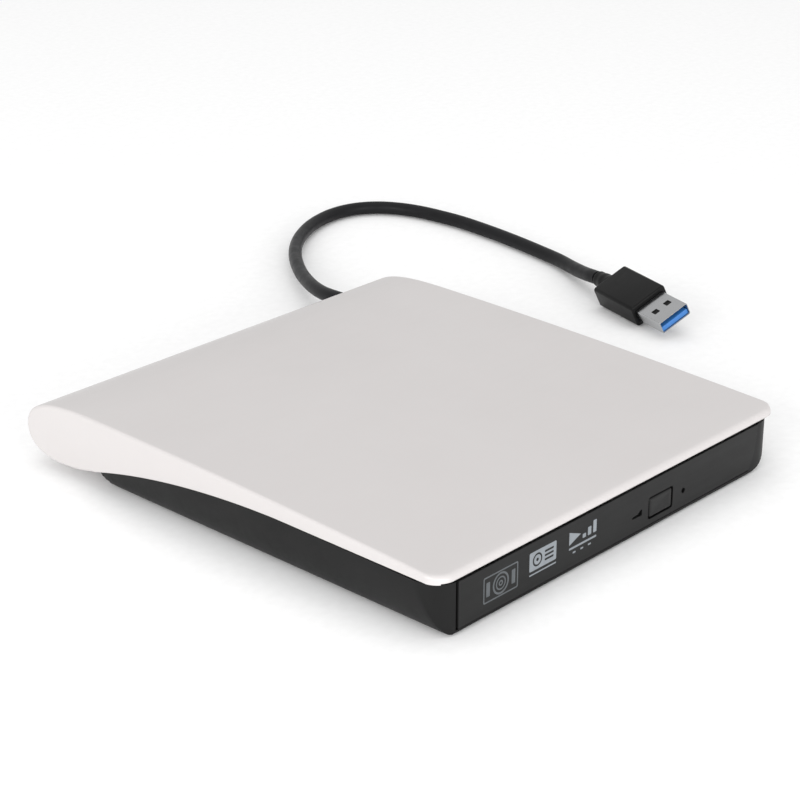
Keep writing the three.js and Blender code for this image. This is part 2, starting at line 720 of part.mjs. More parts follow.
function addTrayElectronics(group) {
  const under = trayUnderHeight - gap;
  add(group, "tray_board", boxGeometry([9, 4.6, under - boardThickness], [trayHalf - 3, 27, under]), finishes.board);
  add(group, "eject_switch", boxGeometry([buttonX - switchHalfWidth, buttonTravel + gap, sheet + 1.4],
    [buttonX + switchHalfWidth, switchRearY, under - gap]), finishes.chip);
  add(group, "latch_lever", latchLever(), finishes.palePlastic);
  const pin = post(latchX, latchY, latchPinRadius, latchBase - gap, under, 20)
    .add(post(latchX, latchY, latchCollarRadius, latchTop + gap, under, 20));
  add(group, "latch_pin", toGeometry(pin), finishes.polishedSteel);
  add(group, "latch_solenoid", boxGeometry(
    [latchX - solenoidHalfWidth, solenoidFrontY, 2 * sheet],
    [latchX + solenoidHalfWidth, solenoidFrontY + solenoidDepth, under],
  ), finishes.steel);
  const beside = spindleRadius - gap * 10;
  const places = [
    [beside, chassisLow - damperReach], [-chassisInner - damperReach + 0.5, 0], [beside, chassisHigh + damperReach + 0.2],
  ];
  places.forEach(([u, v], index) => {
    const x = u * Math.cos(pickupTurn) - v * Math.sin(pickupTurn);
    const y = hubFromFront + u * Math.sin(pickupTurn) + v * Math.cos(pickupTurn);
    add(group, `damper_${index + 1}`, postGeometry(x, y, damperRadius, latchBase, under, 20), finishes.rubber);
  });
}

// ---- bridge board behind the drive ----
function boardScrewPlaces() {
  const y = bridgeFrontY + bridgeBoardDepth - 4;
  return [[bridgeX - bridgeBoardWidth / 2 + 4, y], [bridgeX + bridgeBoardWidth / 2 - 4, y]];
}

function addBridge(group) {
  let board = box([bridgeX - bridgeBoardWidth / 2, bridgeFrontY, bridgeBase],
    [bridgeX + bridgeBoardWidth / 2, bridgeFrontY + bridgeBoardDepth, bridgeTop]);
  for (const [x, y] of boardScrewPlaces()) {
    board = board.subtract(post(x, y, boardScrewRadius + gap, bridgeBase - 1, bridgeTop + 1, 16));
  }
  add(group, "bridge_board", toGeometry(board), finishes.board);
  boardScrewPlaces().forEach(([x, y], index) => {
    const head = post(x, y, boardScrewHeadRadius, bridgeTop + screwSeat, bridgeTop + 1, 20);
    const shank = post(x, y, boardScrewRadius, shelfBase + 0.1, bridgeTop + 0.3, 16);
    add(group, `board_screw_${index + 1}`, toGeometry(head.add(shank)), finishes.darkSteel);
  });
  const socketX = driveShiftX + connectorX;
  const top = bridgeTop + gap;
  add(group, "bridge_socket", boxGeometry(
    [socketX - connectorWidth / 2, driveRearY + 1.6 + slideGap, top],
    [socketX + connectorWidth / 2, bridgeFrontY + 6.5, top + 3.6],
  ), finishes.connectorPlastic);
  const chipY = bridgeFrontY + 9;
  add(group, "bridge_chip", boxGeometry([-6, chipY, top], [2, chipY + 8, top + 0.9]), finishes.chip);
  add(group, "bridge_crystal", boxGeometry([7, chipY + 1, top], [12, chipY + 4.2, top + 1.1]), finishes.steel);
  const leadX = bridgeX + bridgeBoardWidth / 2 - 14;
  add(group, "lead_connector", boxGeometry([leadX - 6, chipY - 1, top], [leadX + 6, chipY + 4.4, top + 3.4]),
    finishes.palePlastic);
  const leadHeight = top + 3.4 + gap + 2;
  const inner = new THREE.CatmullRomCurve3([
    new THREE.Vector3(leadX + 2, chipY + 1.5, leadHeight),
    new THREE.Vector3(leadX + 14, chipY + 2, leadHeight),
    new THREE.Vector3(outletX - 3, chipY + 2.5, leadHeight - 2),
    new THREE.Vector3(outletX, chipY + 6, outletHeight + 1.5),
    new THREE.Vector3(outletX, rearY - coverWall - 3, outletHeight),
  ]);
  add(group, "inner_lead", tube(inner, 1.8, 8, 14), finishes.cordJacket);
}

// ---- lead and plug ----
function tube(curve, radius, sides, steps) {
  const section = new THREE.Shape();
  for (let index = 0; index < sides; index += 1) {
    const angle = (index * 2 * Math.PI) / sides;
    const x = radius * Math.cos(angle);
    const y = radius * Math.sin(angle);
    if (index === 0) {
      section.moveTo(x, y);
    } else {
      section.lineTo(x, y);
    }
  }
  return new THREE.ExtrudeGeometry(section, { steps, bevelEnabled: false, extrudePath: curve });
}

function strainRelief() {
  const inside = rearY - coverWall - 0.4;
  const outside = rearY + gap;
  const end = rearY + reliefLength;
  const profile = [
    [0, inside - 1.6], [reliefFlange, inside - 1.6], [reliefFlange, inside], [reliefNeck, inside], [reliefNeck, outside],
    [reliefRadius, outside], [reliefRadius - 0.4, outside + 2], [cordRadius + 0.6, end], [0, end],
  ];
  const geometry = turned(profile, 28);
  geometry.rotateX(-Math.PI / 2);
  geometry.translate(outletX, 0, outletHeight);
  return geometry;
}

function addLead() {
  add(drive, "cable_strain_relief", strainRelief(), finishes.plugPlastic);
  const path = new THREE.CatmullRomCurve3(cordPath.map((point) => new THREE.Vector3(...point)), false,
    "centripetal");
  add(drive, "usb_cable", tube(path, cordRadius, cordSides, cordSteps), finishes.cordJacket);
}

function rectangle(width, height, radius) {
  const shape = new THREE.Shape();
  const x = width / 2 - radius;
  const y = height / 2 - radius;
  shape.moveTo(-x, -y - radius);
  shape.lineTo(x, -y - radius);
  shape.absarc(x, -y, radius, -Math.PI / 2, 0, false);
  shape.absarc(x, y, radius, 0, Math.PI / 2, false);
  shape.absarc(-x, y, radius, Math.PI / 2, Math.PI, false);
  shape.absarc(-x, -y, radius, Math.PI, Math.PI * 1.5, false);
  return shape;
}

// The plug's own frame: X across the wide side, Y along the axis away from the lead, Z the thickness.
function addPlug() {
  const plug = new THREE.Group();
  plug.position.set(plugX, plugY, plugHeight);
  plug.rotation.set(0, plugRoll, Math.PI - plugYaw, "ZYX");
  const boot = turned([
    [0, -bootLength], [cordRadius + 0.4, -bootLength], [cordRadius + 1, -gap], [0, -gap],
  ], 24).rotateX(-Math.PI / 2);
  add(plug, "plug_boot", boot, finishes.plugPlastic);
  const body = alongY(rectangle(overmouldWidth, overmouldHeight, 1.6), 0, overmouldLength);
  const mouth = box([-plugShellWidth / 2 - gap, overmouldLength - 6, -plugShellHeight / 2 - gap],
    [plugShellWidth / 2 + gap, overmouldLength + 5, plugShellHeight / 2 + gap]);
  add(plug, "plug_overmould", toGeometry(body.subtract(mouth)), finishes.plugPlastic);
  const start = overmouldLength - 6 + gap;
  const end = overmouldLength + plugShellLength;
  const skin = alongY(rectangle(plugShellWidth, plugShellHeight, 0.5), start, end);
  const inside = alongY(rectangle(plugShellWidth - 2 * plugShellWall, plugShellHeight - 2 * plugShellWall, 0.2),
    start - 5, end + 5);
  let can = skin.subtract(inside);
  for (const side of [-1, 1]) {
    can = can.subtract(box([side * 2.55 - 1.1, end - 7.6, -9], [side * 2.55 + 1.1, end - 5.2, 9]));
  }
  add(plug, "plug_shell", toGeometry(can), finishes.plugMetal);
  const tongueTop = plugShellHeight / 2 - plugShellWall - 1.95;
  const low = -plugShellHeight / 2 + plugShellWall + 0.1;
  add(plug, "plug_insulator", boxGeometry(
    [-plugShellWidth / 2 + plugShellWall + 0.1, start + 0.4, low],
    [plugShellWidth / 2 - plugShellWall - 0.1, end - 0.5, tongueTop],
  ), finishes.plugBlue);
  drive.add(plug);
}

function addDrive() {
  const group = new THREE.Group();
  group.position.set(driveShiftX, driveFrontY, driveBase);
  addCase(group);
  addDriveBoard(group);
  addRails(group);
  addTray(group);
  addTrayElectronics(group);
  const turntable = new THREE.Group();
  turntable.position.set(0, hubFromFront, 0);
  addTurntable(turntable);
  const pickup = new THREE.Group();
  pickup.position.set(0, hubFromFront, 0);
  pickup.rotation.z = pickupTurn;
  addPickup(pickup);
  group.add(turntable, pickup);
  drive.add(group);
}

addHousing();
addDrive();
addBridge(drive);
addLead();
addPlug();

export default drive;
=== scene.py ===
import json
import math

import bmesh
import bpy
import numpy as np
from mathutils import Matrix, Vector
from mathutils.geometry import delaunay_2d_cdt


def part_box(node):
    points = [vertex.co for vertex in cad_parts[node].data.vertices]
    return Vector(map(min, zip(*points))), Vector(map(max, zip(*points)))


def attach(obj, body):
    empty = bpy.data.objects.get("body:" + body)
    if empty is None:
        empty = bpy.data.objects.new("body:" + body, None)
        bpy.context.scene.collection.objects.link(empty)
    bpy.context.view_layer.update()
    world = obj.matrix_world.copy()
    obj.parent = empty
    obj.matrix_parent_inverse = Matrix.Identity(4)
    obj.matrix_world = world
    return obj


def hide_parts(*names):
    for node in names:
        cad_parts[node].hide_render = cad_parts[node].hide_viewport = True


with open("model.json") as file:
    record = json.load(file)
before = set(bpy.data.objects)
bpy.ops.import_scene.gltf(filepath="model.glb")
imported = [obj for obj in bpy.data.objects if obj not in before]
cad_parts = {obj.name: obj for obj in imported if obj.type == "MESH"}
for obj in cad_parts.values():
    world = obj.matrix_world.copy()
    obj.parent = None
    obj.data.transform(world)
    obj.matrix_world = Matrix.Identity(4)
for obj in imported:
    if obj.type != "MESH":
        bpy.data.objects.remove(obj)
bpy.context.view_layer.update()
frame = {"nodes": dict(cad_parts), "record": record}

# Lengths below are in millimetres; put_mesh turns them to metres.
MM = 0.001


def cad_corners(node):
    """Lowest and highest corner of a CAD node, in millimetres."""
    low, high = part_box(node)
    return np.array(low) / MM, np.array(high) / MM


# ---------------------------------------------------------------- camera
CAMERA_PLACE = (-420.2, -387.9, 266.1)
CAMERA_DOWN = 23.34
CAMERA_TURN = 47.25
CAMERA_LENS = 97.73


def make_camera():
    """Long lens at the front left corner, looking down along the housing's diagonal."""
    data = bpy.data.cameras.new("camera")
    data.lens = CAMERA_LENS
    data.sensor_width = 36
    data.clip_end = 20
    camera = bpy.data.objects.new("camera", data)
    camera.location = Vector(CAMERA_PLACE) * MM
    camera.rotation_euler = (math.radians(90 - CAMERA_DOWN), 0, math.radians(-CAMERA_TURN))
    bpy.context.scene.collection.objects.link(camera)
    bpy.context.scene.camera = camera


make_camera()


# ---------------------------------------------------------------- mesh building
def put_mesh(name, points, faces, crease=35):
    """Makes a mesh object from millimetre points; doubles are merged and the faces turned outwards."""
    mesh = bpy.data.meshes.new(name)
    mesh.from_pydata((np.asarray(points, float) * MM).tolist(), [], faces)
    work = bmesh.new()
    work.from_mesh(mesh)
    bmesh.ops.remove_doubles(work, verts=work.verts, dist=0.002 * MM)
    bmesh.ops.dissolve_degenerate(work, edges=work.edges, dist=0.0005 * MM)
    bmesh.ops.recalc_face_normals(work, faces=work.faces)
    work.to_mesh(mesh)
    work.free()
    shade(mesh, crease)
    made = bpy.data.objects.new(name, mesh)
    bpy.context.scene.collection.objects.link(made)
    return made


def shade(mesh, crease):
    """Smooth shading with edges sharper than the crease angle kept sharp."""
    mesh.polygons.foreach_set("use_smooth", np.ones(len(mesh.polygons), bool))
    mesh.set_sharp_from_angle(angle=math.radians(crease))


def strip_faces(rows, columns, ring):
    """Quads between neighbouring rows of closed loops; ring also joins the last row to the first."""
    row = np.arange(rows if ring else rows - 1)[:, None]
    column = np.arange(columns)[None, :]
    after = (row + 1) % rows
    beside = (column + 1) % columns
    quads = np.stack([
        row * columns + column, row * columns + beside, after * columns + beside, after * columns + column,
    ], axis=-1)
    return quads.reshape(-1, 4).tolist()


def loft(name, loops, ring=False, crease=35):
    """Skin over a stack of closed loops, an array (loop, point, 3), with a flat face on each end loop."""
    loops = np.asarray(loops, float)
    rows, columns, _ = loops.shape
    faces = strip_faces(rows, columns, ring)
    if not ring:
        faces.append(list(range(columns))[::-1])
        faces.append([(rows - 1) * columns + index for index in range(columns)])
    return put_mesh(name, loops.reshape(-1, 3), faces, crease)


def rounded_rectangle(width, height, radius, steps=6):
    """Outline of a rectangle with quarter-circle corners, as points (x, y)."""
    radius = max(min(radius, width / 2 - 0.001, height / 2 - 0.001), 0.001)
    turn = np.linspace(0, math.pi / 2, steps + 1)
    corners = []
    for index, (sx, sy) in enumerate([(1, 1), (-1, 1), (-1, -1), (1, -1)]):
        angle = turn + index * math.pi / 2
        corners.append(np.stack([
            sx * (width / 2 - radius) + radius * np.cos(angle),
            sy * (height / 2 - radius) + radius * np.sin(angle),
        ], axis=1))
    return np.concatenate(corners)


def edge_levels(length, edge, steps=4):
    """Stations along a block's length with the inset of a quarter-circle edge at both ends."""
    turn = np.linspace(0, math.pi / 2, steps + 1)
    near = np.stack([edge * (1 - np.cos(turn)), edge * (1 - np.sin(turn))], axis=1)
    far = near[::-1].copy()
    far[:, 0] = length - far[:, 0]
    return np.concatenate([near, far])


def block_loops(low, high, edge, corner, along):
    """Loops of a rounded rectangle carried along one axis, pulled in by a quarter circle at both ends."""
    low, high = np.asarray(low, float), np.asarray(high, float)
    across = [axis for axis in (0, 1, 2) if axis != along]
    size = high - low
    middle = (low + high) / 2
    loops = []
    for place, inset in edge_levels(size[along], edge):
        flat = rounded_rectangle(size[across[0]] - 2 * inset, size[across[1]] - 2 * inset, corner - inset)
        loop = np.empty((len(flat), 3))
        loop[:, across] = flat + middle[across]
        loop[:, along] = low[along] + place
        loops.append(loop)
    return np.array(loops)


def rounded_block(name, low, high, edge=0.3, corner=None, along=2, place=None):
    """Block with rounded edges and corners; place is a function that moves its points."""
    loops = block_loops(low, high, edge, edge if corner is None else corner, along)
    return loft(name, loops if place is None else place(loops))


def turned_loops(profile, sides):
    """Circles of the profile's radii at its heights: (r cos a, r sin a, height)."""
    profile = np.asarray(profile, float)
    angle = np.linspace(0, 2 * math.pi, sides, endpoint=False)
    radius = np.maximum(profile[:, 0], 0.0)[:, None]
    return np.stack([
        radius * np.cos(angle), radius * np.sin(angle),
        np.broadcast_to(profile[:, 1:], (len(profile), sides)),
    ], axis=-1)


def turned(name, profile, centre=(0, 0, 0), sides=64, place=None, ring=False):
    """Turned piece about Z from (radius, height) points that run axis to axis, or close on themselves."""
    loops = turned_loops(profile, sides)
    loops = loops if place is None else place(loops)
    return loft(name, loops + np.asarray(centre, float), ring=ring)


def inside(points, loop):
    """True where a point lies inside the closed outline, by counting crossings."""
    x, y = points[:, 0][:, None], points[:, 1][:, None]
    ax, ay = loop[:, 0][None], loop[:, 1][None]
    bx, by = np.roll(loop[:, 0], -1)[None], np.roll(loop[:, 1], -1)[None]
    crosses = (ay > y) != (by > y)
    slope = np.where(crosses, (bx - ax) * (y - ay) / np.where(by == ay, 1e-9, by - ay) + ax, 0)
    return (crosses & (x < slope)).sum(axis=1) % 2 == 1


def plate(name, outline, holes, low, high, edge, place):
    """Flat plate with holes: its outline filled with triangles at two heights and walls between them."""
    loops = [np.asarray(loop, float) for loop in [outline, *holes]]
    starts = np.cumsum([0] + [len(loop) for loop in loops])
    edges = [
        (start + index, start + (index + 1) % len(loop))
        for start, loop in zip(starts, loops) for index in range(len(loop))
    ]
    flat, _, triangles, origins, _, _ = delaunay_2d_cdt(
        [Vector(point) for point in np.concatenate(loops).tolist()], edges, [], 0, 1e-6)
    flat = np.array([tuple(point) for point in flat])
    triangles = np.array(triangles)
    middles = flat[triangles].mean(axis=1)
    kept = inside(middles, loops[0])
    for hole in loops[1:]:
        kept &= ~inside(middles, hole)
    triangles = triangles[kept]
    count = len(flat)
    now = {old: new for new, olds in enumerate(origins) for old in olds}
    walls = [[now[a], now[b], now[b] + count, now[a] + count] for a, b in edges]
    points = np.concatenate([
        np.column_stack([flat, np.full(count, float(low))]),
        np.column_stack([flat, np.full(count, float(high))]),
    ])
    faces = triangles[:, ::-1].tolist() + (triangles + count).tolist() + walls
    made = put_mesh(name, place(points), faces)
    if edge:
        soften(made, edge)
    return made


def soften(made, width):
    """Small rounding along the sharp edges."""
    bevel = made.modifiers.new("soft_edges", "BEVEL")
    bevel.width = width * MM
    bevel.segments = 2
    bevel.limit_method = "ANGLE"
    bevel.angle_limit = math.radians(40)


def cut(made, cutters, crease=35):
    """Cuts the blocks out of a piece and throws them away."""
    for cutter in cutters:
        step = made.modifiers.new("cut", "BOOLEAN")
        step.operation = "DIFFERENCE"
        step.solver = "EXACT"
        step.object = cutter
    shaped = bpy.data.meshes.new_from_object(made.evaluated_get(bpy.context.evaluated_depsgraph_get()))
    made.modifiers.clear()
    made.data = shaped
    shade(shaped, crease)
    for cutter in cutters:
        bpy.data.objects.remove(cutter)
    return made


def frames_along(path):
    """Unit tangents and two unit normals along a path, carried from point to point without twist."""
    ahead = np.gradient(path, axis=0)
    ahead /= np.linalg.norm(ahead, axis=1)[:, None]
    side = np.cross(ahead[0], (0, 0, 1))
    sides = []
    for direction in ahead:
        side = side - direction * side.dot(direction)
        side = side / np.linalg.norm(side)
        sides.append(side)
    sides = np.array(sides)
    return ahead, sides, np.cross(sides, ahead)


def tube(name, path, radii, sides=20, crease=50):
    """Round tube along a path: centre + radius (side cos a + up sin a) at each point."""
    path = np.asarray(path, float)
    radii = np.broadcast_to(radii, len(path))
    _, side, up = frames_along(path)
    angle = np.linspace(0, 2 * math.pi, sides, endpoint=False)
    ring = side[:, None] * np.cos(angle)[None, :, None] + up[:, None] * np.sin(angle)[None, :, None]
    return loft(name, path[:, None] + ring * radii[:, None, None], crease=crease)


def smooth_path(points, steps):
    """Centripetal Catmull-Rom curve through the points: knots spaced by the square root of the distances."""
    points = np.asarray(points, float)
    first = 2 * points[0] - points[1]
    last = 2 * points[-1] - points[-2]
    full = np.concatenate([[first], points, [last]])
    curve = []
    for index in range(len(points) - 1):
        p = full[index:index + 4]
        knots = np.concatenate([[0], np.cumsum(np.linalg.norm(np.diff(p, axis=0), axis=1) ** 0.5)])
        t = np.linspace(knots[1], knots[2], steps, endpoint=False)[:, None]
        a = [
            (knots[k + 1] - t) / (knots[k + 1] - knots[k]) * p[k]
            + (t - knots[k]) / (knots[k + 1] - knots[k]) * p[k + 1] for k in range(3)
        ]
        b = [
            (knots[k + 2] - t) / (knots[k + 2] - knots[k]) * a[k]
            + (t - knots[k]) / (knots[k + 2] - knots[k]) * a[k + 1] for k in range(2)
        ]
        near = (knots[2] - t) / (knots[2] - knots[1])
        far = (t - knots[1]) / (knots[2] - knots[1])
        curve.append(near * b[0] + far * b[1])
    return np.concatenate([*curve, points[-1:]])


def quadratic(a, b, c, steps):
    """Points (1-t)^2 a + 2 t (1-t) b + t^2 c."""
    t = np.linspace(0, 1, steps)[:, None]
    a, b, c = np.array(a), np.array(b), np.array(c)
    return (1 - t) ** 2 * a + 2 * t * (1 - t) * b + t ** 2 * c


def cubic(a, b, c, d, steps):
    """Points (1-t)^3 a + 3 t (1-t)^2 b + 3 t^2 (1-t) c + t^3 d."""
    t = np.linspace(0, 1, steps)[:, None]
    a, b, c, d = np.array(a), np.array(b), np.array(c), np.array(d)
    return (1 - t) ** 3 * a + 3 * t * (1 - t) ** 2 * b + 3 * t ** 2 * (1 - t) * c + t ** 3 * d


# ---------------------------------------------------------------- lead
CORD_RADIUS = 2.4
CORD_POINTS = [
    (66, 85.9, 9.3), (66, 89.2, 9.2), (66.7, 93.8, 8.8), (68.4, 99.5, 8.1), (71.7, 106.8, 7.3), (76.6, 115.1, 6.3),
    (82.4, 123.8, 5.4), (89, 132.4, 4.7), (96, 140.5, 4), (103.2, 147.7, 3.5), (110.5, 153.8, 3.1),
    (117.9, 158.8, 2.8), (125.6, 162.8, 2.7), (133.5, 165.6, 2.6), (141.3, 166.9, 2.6), (148.5, 166.4, 2.6),
    (155, 163.9, 2.6), (160.5, 159.3, 2.6), (164.6, 152.5, 2.6), (167.1, 144.2, 2.6), (168.2, 135, 2.6),
    (168.6, 125.3, 2.6), (167.9, 114.8, 2.6), (166.6, 103.7, 2.6), (164.9, 92.9, 2.6), (162.7, 81.5, 2.6),
    (160, 70.8, 2.8), (156.2, 62.2, 3.4), (152.5, 55.4, 4.4), (149.3, 49.6, 5.5), (147.1, 45.4, 6.4),
    (145.8, 41.9, 6.9),
]
PLUG_PLACE = (143.2, 33.6, 6.9)
PLUG_YAW = 17.5
PLUG_ROLL = 26
OVERMOULD_SIZE = (14.5, 24, 8)
PLUG_SHELL_SIZE = (12, 12, 4.5)
PLUG_WALL = 0.35
BOOT_LENGTH = 8
BOOT_SWELL = 0.95
RELIEF_LENGTH = 5.5
SHOWN_OVERMOULD = OVERMOULD_SIZE[1] - 1.4
WINDOW_PLACE = 2.55
WINDOW_HALF = 1.1


def plug_place(points):
    """Plug's own frame (X across, Y away from the lead, Z thickness) to the table's."""
    yaw = Matrix.Rotation(math.pi - math.radians(PLUG_YAW), 3, "Z")
    roll = Matrix.Rotation(math.radians(PLUG_ROLL), 3, "Y")
    return np.asarray(points) @ np.array(yaw @ roll).T + np.array(PLUG_PLACE)


def y_axis_place(points):
    """Turns a piece made about Z so that it lies along Y."""
    points = np.asarray(points)
    return np.stack([points[..., 0], points[..., 2], -points[..., 1]], axis=-1)


def ribbed_profile(start, end, thick, thin, ribs, groove):
    """Radius falls straight from thick to thin, less a groove for each rib: depth (1 - cos) / 2."""
    place = np.linspace(start, end, ribs * 12 + 1)
    share = (place - start) / (end - start)
    wave = (1 - np.cos(share * ribs * 2 * math.pi)) / 2
    radius = thick + (thin - thick) * share - groove * wave
    return np.column_stack([radius, place])


def make_lead():
    """Round lead, the ribbed relief clipped in the wall and the swelling boot at the plug."""
    path = smooth_path(CORD_POINTS, 8)
    cord = tube("usb_lead", path, CORD_RADIUS, sides=28)
    low, high = cad_corners("cable_strain_relief")
    centre = (low + high) / 2
    wall_face = high[1] - RELIEF_LENGTH + 0.3
    flange = (high[0] - low[0]) / 2
    profile = np.concatenate([
        [(0, low[1]), (flange - 0.3, low[1]), (flange - 0.02, low[1] + 0.3), (flange - 0.02, low[1] + 1.3),
         (flange - 0.3, low[1] + 1.6), (3.2, low[1] + 1.7), (3.2, wall_face), (flange - 0.4, wall_face + 0.02),
         (flange - 0.05, wall_face + 0.4)],
        ribbed_profile(wall_face + 0.8, high[1] - 0.4, flange - 0.05, CORD_RADIUS + 0.7, 3, 0.35),
        [(CORD_RADIUS + 0.35, high[1] - 0.02), (0, high[1] - 0.02)],
    ])
    relief = turned("lead_strain_relief", profile, (centre[0], 0, centre[2]), 48, y_axis_place)
    boot_profile = np.concatenate([
        [(0, -BOOT_LENGTH + 0.02), (CORD_RADIUS + 0.2, -BOOT_LENGTH + 0.02)],
        ribbed_profile(-BOOT_LENGTH + 0.3, -0.9, CORD_RADIUS + 0.35, CORD_RADIUS + BOOT_SWELL, 2, 0.12),
        [(CORD_RADIUS + BOOT_SWELL, -0.32), (0, -0.32)],
    ])
    boot = turned("plug_lead_boot", boot_profile, (0, 0, 0), 40, lambda p: plug_place(y_axis_place(p)))
    return cord, path, relief, boot


def make_overmould():
    """Straight moulded block with crisp rounded edges and the mouth that the metal comes out of."""
    width, length, height = OVERMOULD_SIZE
    loops = []
    for place, inset in edge_levels(SHOWN_OVERMOULD, 0.6, 5):
        flat = rounded_rectangle(width - 2 * inset, height - 2 * inset, 1.1 - inset * 0.5, 6)
        loops.append(np.column_stack([flat[:, 0], np.full(len(flat), place), flat[:, 1]]))
    body = loft("plug_body", plug_place(np.array(loops)))
    across, _, thick = PLUG_SHELL_SIZE
    mouth = rounded_block("mouth_cutter", (-across / 2 - 0.1, length - 6, -thick / 2 - 0.1),
                          (across / 2 + 0.1, length + 4, thick / 2 + 0.1), 0.3, 0.6, 1, plug_place)
    return cut(body, [mouth])


def make_plug_shell():
    """Folded steel tube: rounded rectangle outside and inside, with four latch windows and the fold seam."""
    width, reach, height = PLUG_SHELL_SIZE
    start = OVERMOULD_SIZE[1] - 5.7
    end = OVERMOULD_SIZE[1] + reach - 0.02
    levels = [(start, 0), (end - 0.12, 0), (end, 0.1), (end, PLUG_WALL - 0.08), (end - 0.12, PLUG_WALL),
              (start, PLUG_WALL)]
    loops = []
    for place, inset in levels:
        flat = rounded_rectangle(width - 2 * inset, height - 2 * inset, max(0.62 - inset, 0.25), 5)
        loops.append(np.column_stack([flat[:, 0], np.full(len(flat), place), flat[:, 1]]))
    shell = loft("plug_steel_shell", plug_place(np.array(loops)), ring=True)
    cutters = []
    for index, side in enumerate((-1, 1)):
        middle = side * WINDOW_PLACE
        cutters.append(rounded_block(f"window_cutter_{index}", (middle - WINDOW_HALF, end - 7.6, -9),
                                     (middle + WINDOW_HALF, end - 5.2, 9), 0.1, 0.3, 2, plug_place))
    cutters.append(rounded_block("seam_cutter", (-0.06, start - 1, -9), (0.06, end + 1, -height / 2 + 0.12),
                                 0.01, 0.02, 1, plug_place))
    return cut(shell, cutters)


def make_plug_insides():
    """Insulator tongue with a rounded front edge, nine contacts, and a black block of painted shade that fills the
    empty space above the tongue behind the windows.
    """
    width, reach, height = PLUG_SHELL_SIZE
    end = OVERMOULD_SIZE[1] + reach
    start = OVERMOULD_SIZE[1] - 5.3
    low = -height / 2 + PLUG_WALL + 0.1
    high = height / 2 - PLUG_WALL - 1.95
    tongue = rounded_block("plug_tongue", (-width / 2 + 0.46, start, low), (width / 2 - 0.46, end - 0.52, high),
                           0.22, 0.4, 1, plug_place)
    # Painted shade: a black block fills the empty space above the tongue up to the top wall, dark behind the latch
    # windows and deep in the mouth.
    under_wall = height / 2 - PLUG_WALL - 0.08
    cavity_shade_block = rounded_block("plug_cavity_shade_block", (-width / 2 + 0.5, start, high + 0.5),
                            (width / 2 - 0.5, end - 4.2, under_wall), 0.2, 0.3, 1, plug_place)
    contacts = []
    for index, x in enumerate((-3.5, -1, 1, 3.5)):
        contacts.append(rounded_block(f"plug_contact_{index + 1}", (x - 0.5, end - 8.4, high - 0.1),
                                      (x + 0.5, end - 2.6, high + 0.08), 0.05, 0.3, 2, plug_place))
    for index, x in enumerate((-4, -2, 0, 2, 4)):
        contacts.append(rounded_block(f"plug_fast_contact_{index + 1}", (x - 0.35, end - 10.6, high - 0.1),
                                      (x + 0.35, end - 9.2, high + 0.35), 0.08, 0.2, 2, plug_place))
    return tongue, cavity_shade_block, contacts


# ---------------------------------------------------------------- housing
HALF_WIDTH = 73
FRONT = -79.9
REAR = 79.9
CREST = 49.9
TOP = 21.8
ROLL_MIDDLE = 11.4
ROLL_LOW = 3.4
LIP = 50.6
LIP_TOP = 5.5
WALL = 2
CORNER = 5.5
REAR_CORNER = 1
TOP_EDGE = 0.9
RIM_TOP_EDGE = 1.6
RIM_EDGE = 0.25
BLEND = 25
GAP = 0.3


def top_path(inset, steps=24):
    """Cover's outline in Y and Z: rise to the crest, round the rear roll and under it to the lip."""
    return np.concatenate([
        quadratic((FRONT - 1, 17.9 - inset), (CREST - 62, 21.4 - inset), (CREST, TOP - inset), 2 * steps),
        cubic((CREST, TOP - inset), (CREST + 14, TOP - inset), (REAR - inset, 21.1 - inset),
              (REAR - inset, ROLL_MIDDLE), steps)[1:],
        cubic((REAR - inset, ROLL_MIDDLE), (REAR - inset, 5.8 + inset / 2), (REAR - 6.5, ROLL_LOW + inset),
              (REAR - 14, ROLL_LOW + inset), steps)[1:],
        quadratic((REAR - 14, ROLL_LOW + inset), (REAR - 22.5, ROLL_LOW + inset), (LIP, LIP_TOP + inset),
                  steps // 2)[1:],
    ])


def skirt_path(steps=28):
    """Skirt's lower edge: an S from the lip up to the thin front rim, given from the front back."""
    return np.concatenate([
        cubic((LIP, LIP_TOP), (LIP - 14.5, 9.8), (LIP - 39, 14.9), (-22.1, 15.7), steps),
        [(FRONT - 1, 15.3)],
    ])[::-1]


def corner_push(across, half, radius):
    """How far the front of a rounded rectangle stands back at this distance from the middle."""
    over = np.clip(np.abs(across) - (half - radius), 0, radius)
    return radius - np.sqrt(radius ** 2 - over ** 2)


def even_points(path, start, count):
    """Points at even distances along a path, from the place where Y passes start."""
    path = path[path[:, 0] > start]
    first = (start, np.interp(start, path[:2, 0], path[:2, 1]))
    path = np.concatenate([[first], path])
    run = np.concatenate([[0], np.cumsum(np.linalg.norm(np.diff(path, axis=0), axis=1))])
    place = np.linspace(0, run[-1], count)
    return np.stack([np.interp(place, run, path[:, 0]), np.interp(place, run, path[:, 1])], axis=1)


def edge_drop(distance, radius):
    """Drop of a quarter-circle edge at a distance in from the side."""
    short = np.clip(radius - distance, 0, radius)
    return radius - np.sqrt(radius ** 2 - short ** 2)


